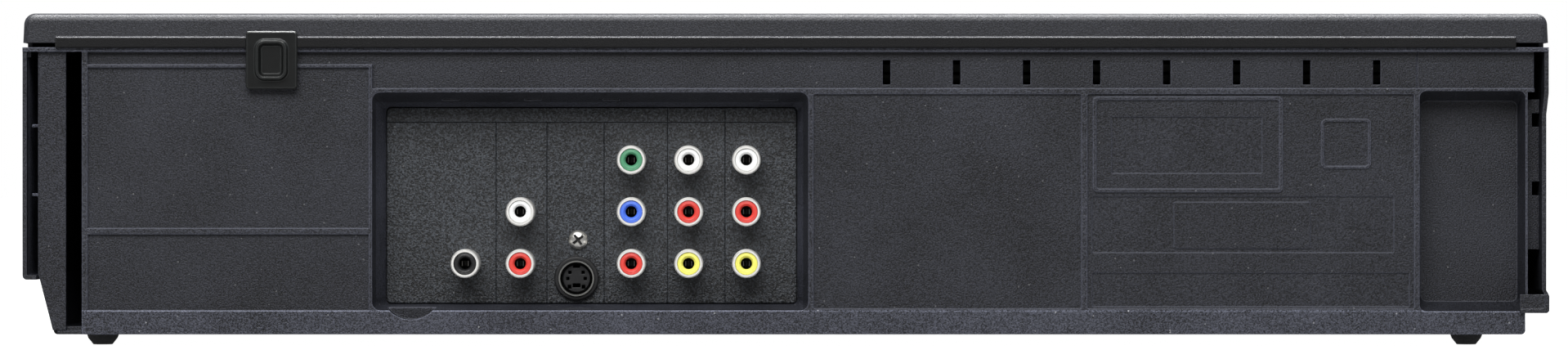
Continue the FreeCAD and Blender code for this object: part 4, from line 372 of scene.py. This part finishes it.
def panel_screw():
    """Head over a polar grid (r, a): height is the crown, screw_rim_high plus the rest times one less
    (r / radius) to the crown's power, less the depth of two crossed blades that fades towards their tips. The
    grid goes on down the rim, under the head and along the shank."""
    turns = np.linspace(0, 2 * math.pi, screw_turns, endpoint=False)
    reach = np.linspace(0, screw_head_radius, screw_rings + 1)[1:]
    r, a = np.meshgrid(reach, turns, indexing="ij")
    crown = screw_rim_high + (screw_head_high - screw_rim_high) * (1 - (r / screw_head_radius) ** crown_power)
    recess = np.zeros_like(r)
    for turn in (screw_turn, screw_turn + math.pi / 2):
        along = np.abs(r * np.cos(a - turn))
        across = np.abs(r * np.sin(a - turn))
        side = np.clip((blade_half_wide - across) / blade_side_slope, 0, 1)
        tip = np.clip((blade_half_long - along) / blade_tip_slope, 0, 1)
        recess = np.maximum(recess, side * tip * (1 - blade_rise * along / blade_half_long))
    height = crown - blade_deep * recess
    below = ((screw_head_radius, 0.0), (1.3, 0.0), (1.3, -7.7), (0.6, -8.3))
    for radius, level in below:
        r = np.vstack([r, np.full((1, len(turns)), radius)])
        a = np.vstack([a, turns])
        height = np.vstack([height, np.full((1, len(turns)), level)])
        recess = np.vstack([recess, np.zeros((1, len(turns)))])
    x = screw_x + r * np.cos(a)
    z = screw_z + r * np.sin(a)
    rings = np.stack([x, bay_floor_y + height, z], axis=-1).reshape(-1, 3)
    top = (screw_x, bay_floor_y + screw_head_high - blade_deep, screw_z)
    end = (screw_x, bay_floor_y - 8.3, screw_z)
    steel = metal("plated_screw", (0.66, 0.65, 0.62), roughness=0.28, scratch=0.2)
    recess_shade = plastic("screw_recess_shade", (0.012, 0.011, 0.010), gloss=0.6)
    faces = ring_faces(len(r), len(turns))
    made = piece("panel_screw", np.vstack([rings, top, end]), faces, "deck", steel, recess_shade)
    # Faces deep in the cross recess take the dark finish, a painted shade.
    shaded_recess = (recess[:-1] > 0.3) & (recess[1:] > 0.3)
    centre = np.ones(len(turns), dtype=bool)
    shade_index = np.concatenate([shaded_recess.reshape(-1), centre, ~centre])
    made.data.polygons.foreach_set("material_index", shade_index.astype(np.int32))
    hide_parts("jack_panel_screw")
    return made


panel_screw()

# Pin jacks: bright plated sleeves with a coloured insulator pressed in and a tinned fork deep in its bore; the
# bore and the fork are painted dark as shade. The blocks behind the panel carry them and stand on the main board.
bright_plate = metal("bright_plate", (0.95, 0.94, 0.91), roughness=0.46, scratch=0.05)
# The fork's tone lies far below tin's, a painted shade deep in the bore.
shaded_tin = metal("tinned_spring_shaded", (0.10, 0.097, 0.09), roughness=0.4, scratch=0.1)
give(bright_plate, "rca_shells")
give(shaded_tin, "rca_contacts")
jack_black = plastic(
    "jack_black", (0.010, 0.010, 0.011), gloss=0.34, grain=900.0, depth=0.15, fine=0.3, broad=0.08
)
give(jack_black, "rca_blocks")
# Heights of the three rows, then each jack's x and its row.
jack_rows = (23.65, 38.45, 53.25)
jack_columns = {
    "white": ((75.8, 1), (27.7, 2), (11.2, 2)),
    "red": ((75.8, 0), (44.1, 0), (27.7, 1), (11.2, 1)),
    "yellow": ((27.7, 0), (11.2, 0)),
    "green": ((44.1, 2),),
    "blue": ((44.1, 1),),
    "black": ((91.55, 0),),
}
insulator_tones = {
    "white": (0.90, 0.91, 0.90),
    "red": (0.74, 0.062, 0.048),
    "yellow": (0.90, 0.87, 0.17),
    "green": (0.090, 0.31, 0.17),
    "blue": (0.080, 0.19, 0.80),
    "black": (0.012, 0.012, 0.013),
}
# Profile of one insulator, radius and y, from the shell's depth over the rounded face into the bore.
insulator_profile = (
    (3.23, 102.7),
    (3.23, 113.10),
    (3.16, 113.32),
    (3.00, 113.45),
    (2.72, 113.48),
    (2.62, 113.40),
    (2.50, 113.48),
    (2.34, 113.52),
    (2.20, 113.46),
    (1.78, 112.95),
    (1.62, 112.60),
    (1.60, 112.20),
    (1.60, 104.2),
)
bore_from = 10
jack_turns = 72


def lathe(profile, centres, turns):
    """Surfaces of revolution about Y: the profile's point (r, y) at the angle a lies at x + r cos a, y,
    z + r sin a, with one closed shell for each centre (x, z)."""
    r, y = np.array(profile).T
    a = np.linspace(0, 2 * math.pi, turns, endpoint=False)
    points = []
    faces = []
    for x, z in centres:
        ring = np.stack([x + np.outer(r, np.cos(a)), y[:, None] + 0 * a, z + np.outer(r, np.sin(a))], axis=-1)
        offset = len(points) * (len(r) * turns + 2)
        points.append(np.vstack([ring.reshape(-1, 3), (x, y[0], z), (x, y[-1], z)]))
        faces += [[i + offset for i in face] for face in ring_faces(len(r), turns)]
    return np.vstack(points), faces


for shade, tone in insulator_tones.items():
    finish = plastic("insulator_" + shade, tone, gloss=0.28, grain=900.0, depth=0.1, fine=0.1, broad=0.04)
    # Each insulator's bore takes a tenth of its tone, a painted shade.
    bore_shade = plastic(
        "bore_shade_" + shade, [0.10 * v for v in tone], gloss=0.5, grain=900.0, depth=0.1, fine=0.1, broad=0.04
    )
    centres = [(x, jack_rows[row]) for x, row in jack_columns[shade]]
    shells, faces = lathe(insulator_profile, centres, jack_turns)
    insulators = piece("insulators_" + shade, shells, faces, "deck", finish, bore_shade)
    rings = np.repeat(np.arange(len(insulator_profile) - 1) >= bore_from, jack_turns)
    fans = np.repeat([False, True], jack_turns)
    inside = np.tile(np.concatenate([rings, fans]), len(centres))
    insulators.data.polygons.foreach_set("material_index", inside.astype(np.int32))
    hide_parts("rca_inserts_" + shade)

# Video socket: a black moulding with a plated shield, broken at the top for the key, and a black insert with
# four contact holes. It looks out through its own hole in the jack panel.
give(metal("socket_shield", (0.26, 0.26, 0.25), roughness=0.3, scratch=0.1), "svideo_shield")
socket_black = plastic(
    "socket_black", (0.010, 0.010, 0.011), gloss=0.40, grain=900.0, depth=0.15, fine=0.3, broad=0.08,
    shine=0.35
)
give(socket_black, "svideo_socket")
insert_black = plastic(
    "insert_black", (0.010, 0.010, 0.011), gloss=0.45, grain=900.0, depth=0.15, fine=0.3, broad=0.08,
    shine=0.3
)
# Every face of the insert behind its front is near black, a painted shade in its contact holes.
zone(insert_black, (50, 95, 10), (70, 104.9, 30), (0.002, 0.002, 0.002), 0.9)
give(insert_black, "svideo_insert")

# Cord bushing and feet: the bushing is a smooth glossy moulding caught between the cover's lip and the rear wall.
# The feet are soft dull rubber under the pan.
bushing_black = plastic(
    "bushing_black", (0.0066, 0.0072, 0.0072), gloss=0.27, grain=600.0, depth=0.08, fine=0.2, broad=0.05,
    specks=0.0, coat=0.05, shine=0.26, edge_highlight=6.0
)
foot_rubber = plastic(
    "foot_rubber", (0.05, 0.051, 0.054), gloss=0.62, grain=1500.0, depth=0.3, fine=1.2, broad=0.3,
    specks=0.03
)
give(bushing_black, "cord_bushing")
give(foot_rubber, "rubber_feet")

# Floor screws: plated pan heads with a cross recess, driven from below. Each head is sunk in the pan's floor, so
# the deck stands on its feet alone.
give(metal("floor_screw", (0.55, 0.55, 0.53), roughness=0.32, scratch=0.2), "base_screws")

# Front: a dark moulding with a smoked window, a door and tray front in a glossier finish, and satin keys. Each
# key travels in its own hole of the panel.
front_moulding = plastic(
    "front_moulding", (0.020, 0.0205, 0.024), gloss=0.30, grain=2200.0, depth=0.20, fine=0.8, broad=0.08,
    specks=0.02, coat=0.10
)
smoked = plastic(
    "smoked_window", (0.0012, 0.0012, 0.0015), gloss=0.03, grain=300.0, depth=0.0, fine=0.0, broad=0.02,
    specks=0.0, coat=0.2, shine=0.3
)
satin_key = plastic(
    "satin_key", (0.10, 0.10, 0.105), gloss=0.34, grain=1800.0, depth=0.15, fine=0.3, broad=0.06
)
door_gloss = plastic(
    "door_moulding", (0.015, 0.0155, 0.018), gloss=0.22, grain=2200.0, depth=0.12, fine=0.5, broad=0.06,
    specks=0.02, coat=0.15
)
give(front_moulding, "front_panel")
give(door_gloss, "cassette_door", "tray_front")
give(smoked, "display_window")
give(satin_key, *[name for name in nodes if name.endswith("_button")])

# Marks over the keys: pale ink printed on the front panel, with red for the record key. They are only the plain
# signs that such keys carry.
front_panel_y = -118.0
ink_thick = 0.04
pale_ink = plastic("pale_ink", (0.58, 0.58, 0.57), gloss=0.5, grain=2500.0, depth=0.05, fine=0.3, broad=0.05)
red_ink = plastic("red_ink", (0.55, 0.035, 0.030), gloss=0.5, grain=2500.0, depth=0.05, fine=0.3, broad=0.05)


def arc(radius, start, stop, count):
    """Points of an arc about the mark's middle, from start to stop in degrees."""
    a = np.radians(np.linspace(start, stop, count))
    return np.stack([radius * np.cos(a), radius * np.sin(a)], axis=-1)


def printed_mark(name, x, z, outlines, ink):
    """Layer of ink: each outline (u, v) carried along Y from just inside the panel to just outside it."""
    points = []
    faces = []
    for outline in outlines:
        count = len(outline)
        u, v = np.asarray(outline, dtype=float).T
        base = sum(len(p) for p in points)
        for y in (front_panel_y - ink_thick, front_panel_y + ink_thick):
            points.append(np.stack([x + u, np.full(count, y), z + v], axis=-1))
        row = np.arange(count)
        following = np.roll(row, -1)
        sides = np.stack([row, following, count + following, count + row], axis=-1) + base
        faces += sides.tolist() + [(row + base).tolist(), (row[::-1] + count + base).tolist()]
    piece(name, np.vstack(points), faces, "deck", ink)


bar = [(-2.0, -1.9), (2.0, -1.9), (2.0, -1.2), (-2.0, -1.2)]
peak = [(-2.0, -0.5), (2.0, -0.5), (0.0, 1.9)]
broken_ring = np.vstack([arc(2.1, 120, 420, 40), arc(1.6, 420, 120, 40)])
stroke = [(-0.26, 0.5), (0.26, 0.5), (0.26, 2.5), (-0.26, 2.5)]
printed_mark("mark_open_close", 174.0, 24.2, [bar, peak], pale_ink)
printed_mark("mark_play", 146.0, 24.2, [[(-1.6, -1.9), (1.9, 0.0), (-1.6, 1.9)]], pale_ink)
printed_mark("mark_stop", 118.0, 24.2, [[(-1.7, -1.7), (1.7, -1.7), (1.7, 1.7), (-1.7, 1.7)]], pale_ink)
printed_mark("mark_eject", -20.0, 37.2, [bar, peak], pale_ink)
printed_mark("mark_record", -48.0, 37.2, [arc(1.8, 0, 350, 36)], red_ink)
printed_mark("mark_power", -190.0, 38.6, [broken_ring, stroke], pale_ink)

# Boards: green laminate with black chips, a pale connector, sleeved capacitors with bare tops, the transformer
# with its taped winding, and the heat sink.
main_board_finish = plastic(
    "main_laminate", (0.018, 0.10, 0.042), gloss=0.32, grain=500.0, depth=0.1, fine=0.2, broad=0.3
)
chip_black = (0.015, 0.015, 0.016)
for low, high in (
    ((90, -30, 12.7), (118, -2, 16)),
    ((70, 10, 12.7), (84, 32, 16)),
    ((128, 20, 12.7), (150, 34, 16)),
):
    zone(main_board_finish, low, high, chip_black, 0.5)
zone(main_board_finish, (59, -81, 12.7), (91, -72, 20), (0.62, 0.60, 0.52), 0.4)
for x in (64, 76, 88, 136):
    zone(main_board_finish, (x - 4, 52, 12.7), (x + 4, 60, 21.4), (0.02, 0.025, 0.07), 0.3)
    zone(main_board_finish, (x - 4, 52, 21.4), (x + 4, 60, 22), (0.7, 0.7, 0.7), 0.3, 1.0)
give(main_board_finish, "main_board")
power_board_finish = plastic(
    "power_laminate", (0.20, 0.12, 0.05), gloss=0.4, grain=500.0, depth=0.1, fine=0.3, broad=0.3
)
zone(power_board_finish, (142, 80, 17), (178, 112, 34), (0.50, 0.36, 0.08), 0.35)
zone(power_board_finish, (145.9, 83.9, 12.7), (174.1, 108.1, 40), (0.06, 0.045, 0.035), 0.45)
zone(power_board_finish, (178.4, 87, 12.7), (193.6, 103, 36.2), (0.02, 0.02, 0.022), 0.3)
zone(power_board_finish, (178.4, 87, 36.2), (193.6, 103, 37), (0.7, 0.7, 0.7), 0.3, 1.0)
zone(power_board_finish, (127.9, 98.9, 12.7), (142.1, 106.4, 33), (0.6, 0.6, 0.6), 0.35, 1.0)
zone(power_board_finish, (127.9, 84.9, 12.7), (138.1, 95.1, 28.2), (0.02, 0.025, 0.07), 0.3)
give(power_board_finish, "power_board")
front_board_finish = plastic(
    "front_laminate", (0.018, 0.10, 0.042), gloss=0.35, grain=500.0, depth=0.1, fine=0.2, broad=0.2
)
zone(front_board_finish, (40, -116, 30.5), (180, -109, 43), (0.010, 0.030, 0.032), 0.08)
give(front_board_finish, "front_board")

# Disc loader: a moulded frame with the tray, acetal gears on pins, a rubber belt and a can motor. The traverse, a
# pressed plate, carries the spindle, the two ground rods and the die-cast pickup.
frame_black = plastic(
    "frame_moulding", (0.022, 0.022, 0.023), gloss=0.4, grain=900.0, depth=0.2, fine=0.6, broad=0.08
)
tray_satin = plastic(
    "tray_moulding", (0.030, 0.030, 0.033), gloss=0.36, grain=1800.0, depth=0.25, fine=0.8, broad=0.06
)
acetal = plastic("acetal", (0.72, 0.71, 0.66), gloss=0.35, grain=600.0, depth=0.05, fine=0.05, broad=0.04)
belt_rubber = plastic(
    "belt_rubber", (0.012, 0.012, 0.012), gloss=0.55, grain=900.0, depth=0.1, fine=0.2, broad=0.05
)
sheet_zinc = metal(
    "zinc_sheet", (0.56, 0.57, 0.55), roughness=0.35, scratch=0.25, stretch=(1.0, 0.15, 1.0), scale=260.0
)
motor_can = metal(
    "motor_can", (0.55, 0.55, 0.54), roughness=0.25, scratch=0.15, stretch=(1.0, 1.0, 0.1), scale=500.0
)
die_cast = metal(
    "die_casting", (0.33, 0.33, 0.34), roughness=0.45, scratch=0.4, stretch=(1.0, 1.0, 1.0), scale=500.0
)
zone(die_cast, (101.5, -25.5, 53.4), (118.5, -8.5, 54.8), (0.015, 0.015, 0.016), 0.45, 0.0)
zone(die_cast, (106, -21, 54.8), (114, -13, 56), (0.03, 0.06, 0.22), 0.04, 0.0)
ground_steel = metal("ground_steel", (0.68, 0.68, 0.67), roughness=0.12, scratch=0.05)
give(frame_black, "loader_frame", "clamp_bridge", "disc_clamper", "turntable")
give(tray_satin, "disc_tray")
give(acetal, "tray_gear", "drive_pulley", "motor_pulley", "sled_gear")
give(belt_rubber, "loading_belt")
give(motor_can, "loading_motor", "spindle_motor")
give(sheet_zinc, "traverse_plate")
give(die_cast, "optical_pickup")
give(ground_steel, "guide_rods", "capstan")

# Cassette deck: pressed zinc-plated sheet, a turned drum on its base, dark reels, and an arm with a rubber roller.
# The slider and its basket carry the cassette in and down on the reels.
turned = metal(
    "turned_aluminium", (0.78, 0.78, 0.77), roughness=0.16, scratch=0.2, stretch=(0.2, 0.2, 6.0), scale=500.0
)
reel_black = plastic(
    "reel_moulding", (0.045, 0.045, 0.048), gloss=0.38, grain=900.0, depth=0.15, fine=0.3, broad=0.06
)
arm_sheet = metal("arm_sheet", (0.50, 0.51, 0.50), roughness=0.35, scratch=0.2)
zone(arm_sheet, (-53.2, 5.2, 31), (-40.6, 17.8, 45.2), (0.014, 0.014, 0.014), 0.6, 0.0)
give(sheet_zinc, "vcr_chassis", "cassette_slider", "cassette_basket")
give(turned, "head_drum", "drum_base")
give(reel_black, "supply_reel", "take_up_reel")
give(arm_sheet, "pinch_arm")

# Stage: a plain pale floor that reads as white from the camera, a narrow light high over the jack side, a broad
# soft one before it, a weaker one before the front, and a dim white room all round.


def white_to_camera(tree, strength, seen):
    """Value that is seen for the camera's own rays and strength for all others."""
    path = tree.nodes.new("ShaderNodeLightPath")
    mix = tree.nodes.new("ShaderNodeMath")
    mix.operation = "MULTIPLY_ADD"
    mix.inputs[1].default_value = seen - strength
    mix.inputs[2].default_value = strength
    tree.links.new(path.outputs["Is Camera Ray"], mix.inputs[0])
    return mix.outputs[0]


floor_reach = 12.0
floor_mesh = bpy.data.meshes.new("floor")
floor_corners = [(-floor_reach, -floor_reach, 0), (floor_reach, -floor_reach, 0)]
floor_corners += [(floor_reach, floor_reach, 0), (-floor_reach, floor_reach, 0)]
floor_mesh.from_pydata(floor_corners, [], [(0, 1, 2, 3)])
floor = bpy.data.objects.new("floor", floor_mesh)
bpy.context.scene.collection.objects.link(floor)
floor_paint = bpy.data.materials.new("floor_paint")
floor_paint.use_nodes = True
floor_mesh.materials.append(floor_paint)
floor_shader = floor_paint.node_tree.nodes["Principled BSDF"]
floor_shader.inputs["Base Color"].default_value = (0.12, 0.12, 0.12, 1.0)
floor_shader.inputs["Roughness"].default_value = 0.9
floor_shader.inputs["Specular IOR Level"].default_value = 0.0
floor_shader.inputs["Emission Color"].default_value = (1.0, 1.0, 1.0, 1.0)
floor_glow = white_to_camera(floor_paint.node_tree, 0.15, 1.0)
floor_paint.node_tree.links.new(floor_glow, floor_shader.inputs["Emission Strength"])


def soft_light(name, place, size, power):
    """Rectangular area lamp at place, turned to the object's middle."""
    data = bpy.data.lights.new(name, "AREA")
    data.shape = "RECTANGLE"
    data.size, data.size_y = size
    data.energy = power
    lamp = bpy.data.objects.new(name, data)
    lamp.location = place
    turn = Vector((0.0, 0.1, 0.05)) - Vector(place)
    lamp.rotation_mode = "QUATERNION"
    lamp.rotation_quaternion = turn.to_track_quat("-Z", "Y")
    bpy.context.scene.collection.objects.link(lamp)


soft_light("top_light", (0.0, 0.09, 1.5), (1.8, 0.12), 80.0)
soft_light("jack_side_light", (0.3, 1.7, 1.6), (2.0, 1.3), 66.0)
soft_light("front_side_light", (-0.7, -1.8, 1.3), (1.4, 0.8), 24.0)
world = bpy.data.worlds.new("studio")
world.use_nodes = True
room = world.node_tree.nodes["Background"]
room.inputs["Color"].default_value = (1.0, 1.0, 1.0, 1.0)
world.node_tree.links.new(white_to_camera(world.node_tree, 0.24, 1.0), room.inputs["Strength"])
bpy.context.scene.world = world
bpy.context.scene.view_settings.view_transform = "Standard"

# Camera: level, square to the jack side, on the photograph's scale of 0.233 mm a pixel at the rear wall.
pixel = 0.000233
photo_width = 1918
photo_middle_x = 959
photo_middle_y = 219.5
object_middle_x = 961
floor_y = 424
rear_wall_y = 0.1155
camera_away = 1.5
camera_data = bpy.data.cameras.new("camera")
camera_data.sensor_width = 36.0
camera_data.lens = camera_data.sensor_width * camera_away / (photo_width * pixel)
camera = bpy.data.objects.new("camera", camera_data)
camera.location = (
    (object_middle_x - photo_middle_x) * pixel,
    rear_wall_y + camera_away,
    (floor_y - photo_middle_y) * pixel,
)
camera.rotation_euler = (math.pi / 2, 0.0, math.pi)
bpy.context.scene.collection.objects.link(camera)
bpy.context.scene.camera = camera
